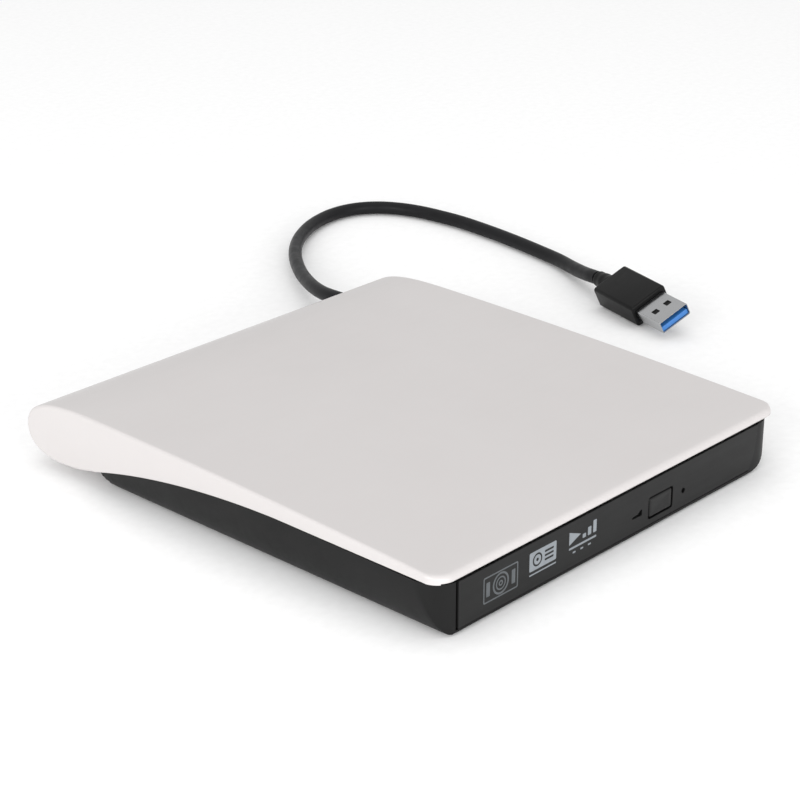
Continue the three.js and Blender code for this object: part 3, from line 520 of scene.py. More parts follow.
def cover_section(x, hollow):
    """One closed loop in Y and Z: front wall, rounded edge, top and roll, then back inside or on the skirt."""
    across = abs(x)
    side = HALF_WIDTH - across
    push = corner_push(across, HALF_WIDTH, CORNER)
    start = FRONT + push
    top = top_path(0)
    turn = math.asin(min(max(across - HALF_WIDTH + CORNER, 0) / CORNER, 1))
    edge = RIM_TOP_EDGE + (TOP_EDGE - RIM_TOP_EDGE) * math.sin(turn) ** 2
    near = edge * (1 - np.cos(np.linspace(0, math.pi / 2, 8))) / max(math.cos(turn), 0.35)
    front_y = np.concatenate([start + near, np.linspace(start + near[-1], FRONT + BLEND, 12)[1:]])
    before_roll = top[:60]
    front_z = np.interp(front_y, before_roll[:, 0], before_roll[:, 1])
    rest = top[top[:, 0] > FRONT + BLEND + 0.5]
    outer = np.concatenate([np.stack([front_y, front_z], axis=1), rest])
    ahead = np.gradient(outer, axis=0)
    ahead /= np.maximum(np.linalg.norm(ahead, axis=1)[:, None], 1e-9)
    outward = np.stack([-ahead[:, 1], ahead[:, 0]], axis=1)
    corner_y = FRONT + CORNER
    past_corner = max(across - HALF_WIDTH + CORNER, 0)
    from_corner = CORNER - np.hypot(past_corner, np.maximum(corner_y - outer[:, 0], 0))
    distance = np.where(outer[:, 0] < corner_y, np.minimum(from_corner, side), side)
    ahead_of_side = np.where(side <= TOP_EDGE, TOP_EDGE, edge)
    drop = edge_drop(np.maximum(distance, 0), np.where(outer[:, 0] < corner_y, ahead_of_side, TOP_EDGE))
    outer = outer - outward * drop[:, None]
    back = np.clip((outer[:, 0] - (REAR - 20)) / 20, 0, 1)
    outer[:, 0] -= corner_push(across, HALF_WIDTH, REAR_CORNER) * back ** 2
    outer[:8, 0] = np.maximum(outer[:8, 0], start)
    lift = edge_drop(side, RIM_EDGE)
    if hollow:
        inner = even_points(top_path(WALL), start + RIM_EDGE, 44)
    else:
        inner = even_points(skirt_path(), start + RIM_EDGE, 44) + (0, lift)
    base = inner[0, 1]
    wall = [(start + 0.07, base + 0.07), (start, base + RIM_EDGE), (start, (base + front_z[0] - edge) / 2)]
    loop = np.concatenate([wall, outer, inner[::-1]])
    return np.column_stack([np.full(len(loop), x), loop])


def make_cover():
    """Cover lofted across from section to section, with the outlet cut through its rear."""
    fillet = HALF_WIDTH - TOP_EDGE * (1 - np.cos(np.linspace(0, math.pi / 2, 9)))
    arc = HALF_WIDTH - CORNER + CORNER * np.sin(np.radians(np.arange(0, 40, 5)))
    solid = [*fillet, 71.7, 71.35, HALF_WIDTH - WALL + 0.02]
    open_part = [HALF_WIDTH - WALL - 0.02, *arc[::-1]]
    middle = np.linspace(HALF_WIDTH - CORNER, -HALF_WIDTH + CORNER, 26)[1:-1]
    half = [(x, False) for x in solid] + [(x, True) for x in open_part]
    stations = half + [(x, True) for x in middle] + [(-x, hollow) for x, hollow in half[::-1]]
    cover = loft("top_cover_moulding", [cover_section(x, hollow) for x, hollow in stations], crease=30)
    low, high = cad_corners("cable_strain_relief")
    centre = ((low + high) / 2)[[0, 2]]
    axis = (centre[0], 0, centre[1])
    hole = turned("outlet_cutter", [(0, 60), (3.45, 60), (3.45, 79.5), (3.75, 80.2), (3.75, 90), (0, 90)],
                  axis, 48, y_axis_place)
    seat = turned("seat_cutter", [(0, 60), (4.18, 60), (4.18, 77.85), (0, 77.85)], axis, 48, y_axis_place)
    return cut(cover, [hole, seat], 30)


SHELL_HALF = 72.5
SHELL_BASE = 0.6
SHELL_RISE = 14
TAPER_LEFT = 5.4
TAPER_RIGHT = 11.5
SHELL_CORNER = 8
TONGUE_HALF = 70.7
TONGUE_TOP = 15.6
BAY_HALF = 69.1
BAY_TAPER = 4
FLOOR_TOP = 2.0
WINDOW_BASE = 1.4
WINDOW_LEFT = -66.1
WINDOW_GAP = 0.35
WINDOW_Y = -77.2
REAR_WALL = 48.7
SHELL_REAR = LIP - GAP
SHELL_FRONT = FRONT + 0.5
SHELF_TOP = 9.19
SHELF_HALF = 64
# Two stations this far apart make a step in the shell's section.
STEP = 0.02
FOOT_SIDES = ("front_left", "front_right", "rear_left", "rear_right")


def side_curve(half, taper, base, levels):
    """Distance of a tapered side from the middle at each height: a quarter ellipse up from the base."""
    rise = np.clip((levels - base) / SHELL_RISE, 0, 1)
    return half - taper + taper * np.sqrt(1 - (1 - rise) ** 2)


def shell_section(y, window, tongue, closed):
    """Matched outer and inner paths in X and Z at one Y, from the left top, under the floor, to the right."""
    skirt = skirt_path()
    top = float(np.interp(y, skirt[:, 0], skirt[:, 1])) - GAP
    lowest = SHELL_BASE
    if y > LIP - 5:
        share = min((y - (LIP - 5)) / (5 - GAP), 1)
        lowest = SHELL_BASE + (top - SHELL_BASE) * share ** 2 * 0.96
    ease = 1 - np.cos(np.linspace(0, math.pi / 2, 15))
    rise = SHELL_BASE + (top - SHELL_BASE) * ease
    height = np.maximum(rise, lowest)
    left = -side_curve(SHELL_HALF, TAPER_LEFT, SHELL_BASE, rise)
    right = side_curve(SHELL_HALF, TAPER_RIGHT, SHELL_BASE, rise)
    peak = TONGUE_TOP if tongue else top
    step_left = -min(side_curve(TONGUE_HALF, TAPER_LEFT, SHELL_BASE, np.array([top]))[0], -left[-1] - 0.05)
    step_right = min(side_curve(TONGUE_HALF, TAPER_RIGHT, SHELL_BASE, np.array([top]))[0], right[-1] - 0.05)
    tongue_levels = np.linspace(top, peak, 5)
    tongue_left = -side_curve(TONGUE_HALF, TAPER_LEFT, SHELL_BASE, tongue_levels)
    tongue_right = side_curve(TONGUE_HALF, TAPER_RIGHT, SHELL_BASE, tongue_levels)
    if not tongue:
        tongue_left[:] = step_left
        tongue_right[:] = step_right
    outer = np.concatenate([
        np.column_stack([tongue_left[::-1], tongue_levels[::-1]]),
        np.column_stack([left[::-1], height[::-1]]),
        np.column_stack([right, height]),
        np.column_stack([tongue_right, tongue_levels]),
    ])
    if window:
        levels = np.concatenate([WINDOW_BASE + (top - WINDOW_BASE) * ease, np.full(5, peak)])
        inner_left = np.full(20, WINDOW_LEFT)
        end = bezel_outline(WINDOW_GAP)[1:16] + (DRIVE_X, DRIVE_Z)
        inner_right = np.interp(levels, end[:, 1], end[:, 0])
    else:
        levels = np.concatenate([FLOOR_TOP + (top - FLOOR_TOP) * ease, tongue_levels])
        inner_left = -side_curve(BAY_HALF, BAY_TAPER, FLOOR_TOP, levels)
        inner_right = -inner_left
    if closed:
        levels = np.full(20, peak)
        inner_left = np.concatenate([np.linspace(-60, left[-1] + 0.5, 15), np.full(5, left[-1] + 0.5)])
        inner_right = np.concatenate([np.linspace(60, right[-1] - 0.5, 15), np.full(5, right[-1] - 0.5)])
    inner = np.concatenate([
        np.column_stack([inner_left[::-1], levels[::-1]]), np.column_stack([inner_right, levels]),
    ])
    return outer, inner


def shell_loop(y, outer, inner):
    """Closed loop of both paths; the rounded plan corners move each point back by its own distance."""
    flat = np.concatenate([outer, inner[::-1]])
    fade = np.clip(1 - (y - SHELL_FRONT) / BLEND, 0, 1)
    push = corner_push(flat[:, 0], SHELL_HALF, SHELL_CORNER) * fade
    return np.column_stack([flat[:, 0], y + push, flat[:, 1]])


def make_lower_shell():
    """Tub lofted from the front back with its foot pockets cut out, and the shelf, wall and ribs at its rear."""
    loops = []
    outer, inner = shell_section(SHELL_FRONT, True, False, False)
    front_edge = 0.35
    for share in np.linspace(0, 1, 9):
        loops.append(shell_loop(SHELL_FRONT, inner + (outer - inner) * share * 0.97, inner))
    # Each station: its Y, then whether it has the window, has the tongue and is closed.
    stations = [(SHELL_FRONT + front_edge, True, False, False), (WINDOW_Y, True, False, False),
                (WINDOW_Y + STEP, False, False, False), (-76.9, False, False, False), (-76.88, False, True, False)]
    stations += [(y, False, True, False) for y in np.linspace(-74, LIP - 5.5, 44)]
    stations += [(y, False, True, False) for y in (LIP - 5, LIP - 3, REAR_WALL)]
    stations += [(y, False, False, True) for y in (REAR_WALL + STEP, LIP - 1.2, SHELL_REAR)]
    for y, *shape in stations:
        loops.append(shell_loop(y, *shell_section(y, *shape)))
    tub = loft("lower_shell_tub", loops, crease=30)
    high = cad_corners("lower_shell")[1]
    pockets = []
    for side in FOOT_SIDES:
        near, far = cad_corners(f"rubber_foot_{side}")
        middle = (near + far) / 2
        pockets.append(turned(f"pocket_{side}", [(0, -1), (4.8, -1), (4.8, 1.3), (0, 1.3)], (*middle[:2], 0), 40))
    tub = cut(tub, pockets, 30)
    shelf = rounded_block("bridge_shelf", (-SHELF_HALF, REAR_WALL + 0.2, 7.8),
                          (SHELF_HALF, high[1] - 0.01, SHELF_TOP), 0.3, 1.5)
    wall = rounded_block("shell_rear_wall", (-SHELF_HALF + 0.02, REAR_WALL + 0.02, 4.6),
                         (SHELF_HALF - 0.02, SHELL_REAR - 0.05, SHELF_TOP - 0.02), 0.2, 0.3)
    ribs = []
    for index, x in enumerate(np.linspace(-52, 52, 7)):
        ribs.append(rounded_block(f"shelf_rib_{index + 1}", (x - 0.5, SHELL_REAR - 0.1, 6.3),
                                  (x + 0.5, SHELL_REAR + 6, 7.9), 0.1, 0.2))
    return tub, shelf, wall, ribs


def make_feet():
    """Turned rubber feet with a round recess and one groove underneath."""
    made = {}
    for side in FOOT_SIDES:
        node = f"rubber_foot_{side}"
        low, high = cad_corners(node)
        middle = (low + high) / 2
        profile = [(0, 0.12), (1.4, 0.12), (1.55, 0), (2.5, 0), (2.65, 0.12), (3.2, 0.12), (3.35, 0), (4.1, 0),
                   (4.38, 0.1), (4.49, 0.35), (4.49, 0.98), (0, 0.98)]
        made[node] = turned(f"foot_{side}", profile, (*middle[:2], 0), 56)
    return made


# ---------------------------------------------------------------- tray front
drive_low, drive_high = cad_corners("drive_lower_case")
DRIVE_X = float((drive_low + drive_high)[0] / 2)
DRIVE_Y = float(drive_low[1])
DRIVE_Z = float(drive_low[2])
BEZEL_WIDTH = 128.7
BEZEL_HEIGHT = 13.2


def bezel_outline(grow=0.0):
    """Bezel's outline in X and height; its right end curves in towards the bottom."""
    low = -BEZEL_WIDTH / 2 - grow
    high = low + BEZEL_WIDTH + 2 * grow
    base = -0.4 - grow
    top = base + BEZEL_HEIGHT + 2 * grow
    end = quadratic((high - 3.4, base), (high - 0.4, base + 4.06), (high, base + 11.6), 14)
    return np.concatenate([[(low, base)], end, [(high, top), (low, top)]])


def shift_outline(points, x, z):
    """Outline moved by x and z."""
    return np.asarray(points) + (x, z)


def turn_outline(points, angle):
    """Outline turned about its origin."""
    c, s = math.cos(angle), math.sin(angle)
    points = np.asarray(points)
    return np.column_stack([points[:, 0] * c - points[:, 1] * s, points[:, 0] * s + points[:, 1] * c])


def circle_outline(radius, count, x, z):
    """Outline of a circle about (x, z)."""
    angle = np.linspace(0, 2 * math.pi, count, endpoint=False)
    return np.column_stack([x + radius * np.cos(angle), z + radius * np.sin(angle)])


def front_place(front):
    """Outline plane (x, height, depth) to the drive's front; depth grows backwards from the front face."""
    def place(points):
        points = np.asarray(points)
        return np.stack([
            DRIVE_X + points[..., 0], front + points[..., 2], DRIVE_Z + points[..., 1],
        ], axis=-1)
    return place


def front_features():
    """Middles of the button, the lamp slot and the release hole, in the drive's own X and height."""
    low, high = cad_corners("eject_button")
    button = ((low + high) / 2)[[0, 2]] - (DRIVE_X, DRIVE_Z)
    return button, button + (-10.5, 0), button + (10.4, 0)


def make_tray_front():
    """Bezel with its three openings, the dished button cap and the wedge of the light pipe behind its slot."""
    front = cad_corners("tray_bezel")[0][1] + 0.01
    place = front_place(front)
    button, lamp, pin = front_features()
    button_hole = shift_outline(rounded_rectangle(11.1, 6.6, 0.9), *button)
    wedge = np.array([(-2.1, -0.7), (2.15, -0.75), (2.2, 0.95), (1.5, 0.95), (0.1, 0.1), (-2.1, -0.05)])
    lamp_hole = wedge + lamp
    pin_hole = circle_outline(0.8, 24, *pin)
    openings = [button_hole, lamp_hole, pin_hole]
    bezel = plate("tray_front_panel", bezel_outline(-0.01), openings, 0, 2.48, 0.22, place)
    depth = cad_corners("eject_button")[1][1] - front
    cap = []
    for back, inset in [(0.0, 0.45), (0.04, 0.25), (0.14, 0.1), (0.32, 0.0), (depth, 0.0)]:
        flat = rounded_rectangle(10.1 - 2 * inset, 5.6 - 2 * inset, 0.7 - inset * 0.6)
        cap.append(np.column_stack([flat + button, np.full(len(flat), back + 0.02)]))
    dish = []
    for share in np.linspace(0.0, 1.0, 6)[1:]:
        flat = rounded_rectangle(9.2 * share, 4.7 * share, 0.5 * share)
        dish.append(np.column_stack([flat + button, np.full(len(flat), 0.02 + 0.12 * (1 - share ** 2))]))
    push = loft("eject_button_cap", place(np.array(dish + cap)), crease=40)
    pipe_flat = wedge * (0.94, 0.88) + lamp
    pipe_loops = [np.column_stack([pipe_flat, np.full(len(pipe_flat), back)]) for back in (0.5, 0.6, 2.6)]
    pipe_loops[0][:, :2] = lamp + (pipe_flat - lamp) * 0.9
    pipe = loft("lamp_light_pipe", place(np.array(pipe_loops)))
    return bezel, push, pipe


# ---------------------------------------------------------------- printed marks
def bar(x0, z0, x1, z1, radius=0.2):
    """Outline of a bar between two corners."""
    return shift_outline(rounded_rectangle(x1 - x0, z1 - z0, radius, 3), (x0 + x1) / 2, (z0 + z1) / 2)


def make_marks():
    """Three plain symbols: a framed disc, a tile with a disc and tracks, and a pointer over level bars."""
    front = cad_corners("tray_bezel")[0][1]
    place = front_place(front)
    thick = (0.005, 0.03)
    faint = [
        (bar(-55.0, 2.5, -41.6, 9.9, 0.5), [bar(-54.6, 2.9, -42.0, 9.5, 0.3)]),
        (circle_outline(3.1, 40, -48.3, 6.2), [circle_outline(2.55, 40, -48.3, 6.2)]),
        (circle_outline(1.9, 36, -48.3, 6.2), [circle_outline(1.5, 36, -48.3, 6.2)]),
        (circle_outline(0.8, 28, -48.3, 6.2), [circle_outline(0.4, 24, -48.3, 6.2)]),
        (bar(-53.9, 4.2, -52.5, 8.2), []),
        (bar(-44.1, 4.2, -42.7, 8.2), []),
    ]
    light = [
        (bar(-37.1, 4.6, -26.3, 10.0, 0.4), [
            circle_outline(1.9, 36, -33.9, 7.3), bar(-31.0, 8.2, -27.4, 8.8),
            bar(-31.0, 7.0, -27.4, 7.6), bar(-31.0, 5.8, -27.4, 6.4),
        ]),
        (circle_outline(1.4, 32, -33.9, 7.3), [circle_outline(0.5, 24, -33.9, 7.3)]),
        (bar(-37.1, 3.4, -26.3, 3.8, 0.15), []),
        (np.array([(-21.0, 6.2), (-16.2, 8.1), (-21.0, 10.0)]), []),
        (bar(-15.4, 6.4, -14.0, 7.6), []),
        (bar(-13.2, 6.4, -11.8, 8.8), []),
        (bar(-11.0, 6.4, -9.6, 10.0), []),
        (bar(-21.0, 4.8, -9.6, 5.4), []),
        (bar(-19.4, 3.4, -18.2, 3.9), []),
        (bar(-16.2, 3.4, -15.0, 3.9), []),
        (bar(-13.0, 3.4, -11.8, 3.9), []),
    ]
    made = {"faint": [], "light": []}
    for tone, shapes in (("faint", faint), ("light", light)):
        for index, (outline, holes) in enumerate(shapes):
            made[tone].append(plate(f"printed_{tone}_{index + 1}", outline, holes, *thick, 0, place))
    return made


# ---------------------------------------------------------------- tray and pickup
HUB_Y = 62
LANE_TURN = -135
LANE_REACH = 63.25
LANE_SIDES = (-11.25, 12.25)
SLED_PARKED = 23
TRAY_HALF = 61.19
TRAY_FRONT = 1.16
TRAY_REAR = 107.98
TRAY_CORNER = 3
DISC_WELL = 60.4


def drive_place(points):
    """Drive's own frame (X across, Y back from the case's front edge, Z up from its base) to the table's."""
    return np.asarray(points) + (DRIVE_X, DRIVE_Y, DRIVE_Z)


def lane_place(points):
    """Pickup's frame, its X outwards from the hub, to the table's."""
    turn = np.array(Matrix.Rotation(math.radians(LANE_TURN), 3, "Z"))
    return drive_place(np.asarray(points) @ turn.T + (0, HUB_Y, 0))


def keyhole(radius, reach, low, high, count=60):
    """Outline of a circle joined to a straight lane that runs out to reach between two lines."""
    start = math.atan2(high, math.sqrt(radius ** 2 - high ** 2))
    end = 2 * math.pi - math.atan2(-low, math.sqrt(radius ** 2 - low ** 2))
    angle = np.linspace(start, end, count)
    arc = np.column_stack([radius * np.cos(angle), radius * np.sin(angle)])
    return np.concatenate([[(reach, low), (reach, high)], arc])


def lane_outline(outline):
    """The pickup's outline in the drive's own X and Y."""
    return turn_outline(outline, math.radians(LANE_TURN)) + (0, HUB_Y)


def corner_arc(side):
    """Rear corner of the tray, walked from the side to the rear on the right and back on the left."""
    angle = np.linspace(0, math.pi / 2, 7)
    points = np.column_stack([
        side * (TRAY_HALF - TRAY_CORNER + TRAY_CORNER * np.cos(angle)),
        TRAY_REAR - TRAY_CORNER + TRAY_CORNER * np.sin(angle),
    ])
    return points if side > 0 else points[::-1]


def make_tray():
    """Moulded tray: floor, the ledges for both disc sizes, the rim and what is moulded on it."""
    front_left, front_right = (-TRAY_HALF, TRAY_FRONT), (TRAY_HALF, TRAY_FRONT)
    outline = np.concatenate([[front_left, front_right], corner_arc(1), corner_arc(-1)])
    floor_hole = lane_outline(keyhole(17.25, LANE_REACH, *LANE_SIDES))
    ledge_hole = lane_outline(keyhole(40.4, LANE_REACH, *LANE_SIDES, 110))
    floor = plate("tray_floor", outline, [floor_hole], 5.61, 6.8, 0.1, drive_place)
    seat = plate("tray_disc_seat", outline, [ledge_hole], 6.79, 7.19, 0.12, drive_place)
    chord = math.acos((TRAY_REAR - HUB_Y) / DISC_WELL)
    angle = np.linspace(math.pi / 2 + chord, 2 * math.pi + math.pi / 2 - chord, 130)
    arc = np.column_stack([DISC_WELL * np.cos(angle), HUB_Y + DISC_WELL * np.sin(angle)])
    rim_outline = np.concatenate([[front_right], corner_arc(1), arc[::-1], corner_arc(-1), [front_left]])
    thumb = circle_outline(9, 40, 50.7, 12)
    rim = plate("tray_rim", rim_outline, [thumb], 7.18, 10.39, 0.3, drive_place)
    extras = []
    stop = [(0, 7.1), (1.6, 7.1), (1.6, 7.5), (1.3, 7.75), (0, 7.8)]
    for index, degrees in enumerate((200, 245, 295, 340)):
        turn = math.radians(degrees)
        spot = drive_place((59.2 * math.cos(turn), HUB_Y + 59.2 * math.sin(turn), 0))
        extras.append(turned(f"tray_disc_stop_{index + 1}", stop, spot, 28))
    for side, hand in ((-1, "left"), (1, "right")):
        for index, y in enumerate((14, 34, 90)):
            middle = side * 59.9
            extras.append(rounded_block(f"tray_rim_rib_{hand}_{index + 1}", (middle - 0.6, y - 4, 10.2),
                                        (middle + 0.6, y + 4, 10.395), 0.08, 0.4, 2, drive_place))
    mark = [(1.3, 6.78), (1.5, 6.78), (1.5, 6.84), (1.3, 6.84)]
    marks = []
    for index, spot in enumerate([(-30, 40, 0), (28, 45, 0), (32, 84, 0), (-6, 100, 0)]):
        marks.append(turned(f"tray_ejector_mark_{index + 1}", mark, drive_place(spot), 28, ring=True))
    return floor, [seat, rim, *extras, *marks]


def make_traverse_cover():
    """Stamped plate round the hub and the lens's lane, with three sunk screws."""
    opening = keyhole(12.92, 61, -7.92, 7.92)
    cover = plate("traverse_cover_plate", keyhole(16.98, 62.98, -10.98, 11.98), [opening], 6.41, 7.19, 0.12,
                  lane_place)
    screws = []
    for index, degrees in enumerate((75, 180, 285)):
        turn = math.radians(degrees)
        spot = lane_place((14.95 * math.cos(turn), 14.95 * math.sin(turn), 0))
        screws.append(turned(f"traverse_cover_screw_{index + 1}", [
            (0, 7.12), (0.4, 7.12), (0.5, 7.24), (1.1, 7.24), (1.3, 7.16), (1.3, 6.9), (0, 6.9)], spot, 28))
    return cover, screws


def make_turntable():
    """Hub: disc seat with a rubber ring, tapered boss with a lead-in, three balls and claws between them."""
    centre = drive_place((0, HUB_Y, 0))
    hub = turned("turntable_hub_moulding", [
        (0, 5.12), (10.1, 5.12), (10.18, 5.2), (10.18, 6.8), (12.3, 7.1), (12.58, 7.3), (12.58, 8.1), (12.4, 8.28),
        (11.9, 8.28), (11.8, 8.16), (9.9, 8.16), (9.8, 8.28), (7.7, 8.28), (7.28, 8.4), (7.28, 9.8), (7.0, 10.15),
        (6.0, 10.75), (5.6, 10.88), (3.2, 10.88), (2.9, 10.7), (2.5, 9.6), (0.9, 9.5), (0, 9.5),
    ], centre, 96)
    pad = turned("disc_seat_rubber", [
        (9.95, 8.17), (11.75, 8.17), (11.75, 8.29), (11.6, 8.32), (10.1, 8.32), (9.95, 8.29),
    ], centre, 96, ring=True)
    axle = turned("spindle_end", [(0, 9.4), (0.75, 9.4), (0.75, 10.2), (0.55, 10.4), (0, 10.4)], centre, 36)
    claws = []
    for index in range(6):
        angle = math.radians(30 + 60 * index + (18 if index % 2 else -18))
        turn = np.array(Matrix.Rotation(angle, 3, "Z"))
        claws.append(rounded_block(f"disc_claw_{index + 1}", (6.2, -0.9, 8.6), (7.42, 0.9, 10.0), 0.15, 0.3, 2,
                                   lambda p, t=turn: p @ t.T + centre))
    arc = np.linspace(-math.pi / 2, math.pi / 2, 17)
    profile = 0.89 * np.column_stack([np.cos(arc), np.sin(arc)])
    profile[[0, -1], 0] = 0
    balls = {}
    for index in range(3):
        node = f"disc_clamp_ball_{index + 1}"
        low, high = cad_corners(node)
        balls[node] = turned(f"clamp_ball_{index + 1}", profile, (low + high) / 2, 32)
    return hub, [pad, axle], claws, balls


def make_pickup():
    """Sled's upper works: lens holder on four wires between two magnets, the lens in its ring, and a flex."""
    u = SLED_PARKED
    holder = rounded_block("lens_carrier", (u - 3.98, -4.98, 6.12), (u + 3.98, 4.98, 7.08), 0.2, 0.8, 2,
                           lane_place)
    angle = np.linspace(0.15, math.pi / 2, 9)
    dome = np.column_stack([2.1 * np.cos(angle), 7.45 + 0.69 * np.sin(angle)])
    dome[-1, 0] = 0
    centre = lane_place((u, 0, 0))
    glass = np.concatenate([[(0, 7.21), (2.19, 7.21), (2.19, 7.4)], dome])
    lens = turned("objective_lens_glass", glass, centre, 48)
    ring = turned("lens_ring", [(2.25, 7.0), (3.1, 7.0), (3.1, 7.3), (2.9, 7.42), (2.4, 7.42), (2.25, 7.3)],
                  centre, 48, ring=True)
    magnets = []
    for index, side in enumerate((-1, 1)):
        magnets.append(rounded_block(f"coil_magnet_{index + 1}", (u - 2.5, side * 6.2 - 0.7, 5.9),
                                     (u + 2.5, side * 6.2 + 0.7, 7.0), 0.12, 0.25, 2, lane_place))
    wires = []
    for index, (v, z) in enumerate([(-5.2, 6.35), (-5.2, 6.85), (5.2, 6.35), (5.2, 6.85)]):
        path = lane_place(np.array([(u - 5.5, v, z), (u - 2, v, z), (u + 2, v, z), (u + 3.5, v, z)]))
        wires.append(tube(f"lens_spring_wire_{index + 1}", path, 0.07, 8))
    flex = rounded_block("pickup_flex", (u - 5.8, -3.4, 5.98), (u - 4.2, 3.4, 6.1), 0.03, 0.1, 2, lane_place)
    return holder, lens, ring, magnets, wires, flex


# ---------------------------------------------------------------- materials
def srgb(text):
    """Linear colour from an sRGB hex text."""
    values = [int(text[i:i + 2], 16) / 255 for i in (1, 3, 5)]
    return [*(v / 12.92 if v <= 0.04045 else ((v + 0.055) / 1.055) ** 2.4 for v in values), 1.0]


def add(tree, kind, settings=None, values=None, links=None):
    """Adds one node, sets its settings and its inputs, and links its inputs to other nodes' outputs."""
    made = tree.nodes.new(kind)
    for key, value in (settings or {}).items():
        setattr(made, key, value)
    for key, value in (values or {}).items():
        made.inputs[key].default_value = value
    for key, source in (links or {}).items():
        tree.links.new(source, made.inputs[key])
    return made


def start(name):
    """New material: its node tree, its shader and a millimetre coordinate."""
    material = bpy.data.materials.new(name)
    material.use_nodes = True
    tree = material.node_tree
    tree.nodes.clear()
    shader = add(tree, "ShaderNodeBsdfPrincipled")
    add(tree, "ShaderNodeOutputMaterial", links={"Surface": shader.outputs["BSDF"]})
    place = add(tree, "ShaderNodeTexCoord")
    scaled = add(tree, "ShaderNodeVectorMath", {"operation": "SCALE"}, {"Scale": 1 / MM},
                 {0: place.outputs["Object"]})
    return material, tree, shader, scaled.outputs["Vector"]


def noise(tree, place, size, detail=3.0, stretch=(1, 1, 1), rough=0.5):
    """Noise whose features are about this many millimetres across; stretch lengthens them along an axis."""
    placed = add(tree, "ShaderNodeVectorMath", {"operation": "DIVIDE"}, {1: stretch}, {0: place})
    return add(tree, "ShaderNodeTexNoise", {}, {"Scale": 1 / size, "Detail": detail, "Roughness": rough},
               {"Vector": placed.outputs["Vector"]}).outputs["Fac"]


def ranged(tree, source, low, high, from_low=0.3, from_high=0.7):
    """Value mapped from one range to another and held at the ends."""
    return add(tree, "ShaderNodeMapRange", {"clamp": True}, {
        "From Min": from_low, "From Max": from_high, "To Min": low, "To Max": high,
    }, {"Value": source}).outputs["Result"]


def blend_colour(tree, share, first, second):
    """Mixes two colours, each a hex text or another node's output."""
    mix = add(tree, "ShaderNodeMix", {"data_type": "RGBA"}, {}, {0: share})
    for socket, colour in ((6, first), (7, second)):
        if isinstance(colour, str):
            mix.inputs[socket].default_value = srgb(colour)
        else:
            tree.links.new(colour, mix.inputs[socket])
    return mix.outputs[2]


def relief(tree, shader, height, depth):
    """Bump of this depth in millimetres."""
    bump = add(tree, "ShaderNodeBump", {}, {"Strength": 1.0, "Distance": depth * MM}, {"Height": height})
    tree.links.new(bump.outputs["Normal"], shader.inputs["Normal"])


def plastic(name, colour, shadow, roughness, grain=0.35, depth=0.004, specular=0.5, cloud=18.0, gloss=0.0):
    """Moulded plastic: slow tone drift, a fine eroded grain, faint handling marks in the gloss."""
    material, tree, shader, place = start(name)
    drift = noise(tree, place, cloud, 4)
    fine = noise(tree, place, grain, 2)
    marks = noise(tree, place, 2.2, 5, (9, 1, 1), 0.7)
    tone = blend_colour(tree, ranged(tree, drift, 0.0, 0.75), colour, shadow)
    tone = blend_colour(tree, ranged(tree, fine, 0.0, 0.35), tone, shadow)
    tree.links.new(tone, shader.inputs["Base Color"])
    both = add(tree, "ShaderNodeMath", {"operation": "MULTIPLY"}, {}, {0: drift, 1: marks}).outputs["Value"]
    tree.links.new(ranged(tree, both, roughness - 0.04, roughness + 0.06, 0.12, 0.4), shader.inputs["Roughness"])
    relief(tree, shader, fine, depth)
    shader.inputs["Specular IOR Level"].default_value = specular
    if gloss:
        shader.inputs["Coat Weight"].default_value = gloss
        shader.inputs["Coat Roughness"].default_value = 0.12
    return material


def metal(name, colour, shadow, roughness, stretch=(30, 1, 1), line=0.25, depth=0.003, spread=0.16):
    """Rolled or turned metal: fine lines along one way, cloudy stains and small pits in the gloss."""
    material, tree, shader, place = start(name)
    lines = noise(tree, place, line, 3, stretch, 0.6)
    stains = noise(tree, place, 7, 5)
    pits = noise(tree, place, 0.5, 2)
    tone = blend_colour(tree, ranged(tree, stains, 0, 0.8), colour, shadow)
    tone = blend_colour(tree, ranged(tree, lines, 0, 0.5), tone, shadow)
    tree.links.new(tone, shader.inputs["Base Color"])
    shader.inputs["Metallic"].default_value = 1.0
    both = add(tree, "ShaderNodeMath", {"operation": "ADD"}, {}, {0: lines, 1: pits}).outputs["Value"]
    tree.links.new(ranged(tree, both, roughness - 0.4 * spread, roughness + 0.6 * spread, 0.7, 1.3),
                   shader.inputs["Roughness"])
    relief(tree, shader, lines, depth)
    return material


def rubber(name, colour, shadow):
    """Matt rubber with a fine stipple and dusty patches."""
    material, tree, shader, place = start(name)
    dust = noise(tree, place, 4, 5)
    stipple = noise(tree, place, 0.22, 2)
    tree.links.new(blend_colour(tree, ranged(tree, dust, 0, 0.6), colour, shadow), shader.inputs["Base Color"])
    tree.links.new(ranged(tree, dust, 0.72, 0.92), shader.inputs["Roughness"])
    relief(tree, shader, stipple, 0.012)
    shader.inputs["Specular IOR Level"].default_value = 0.3
    return material


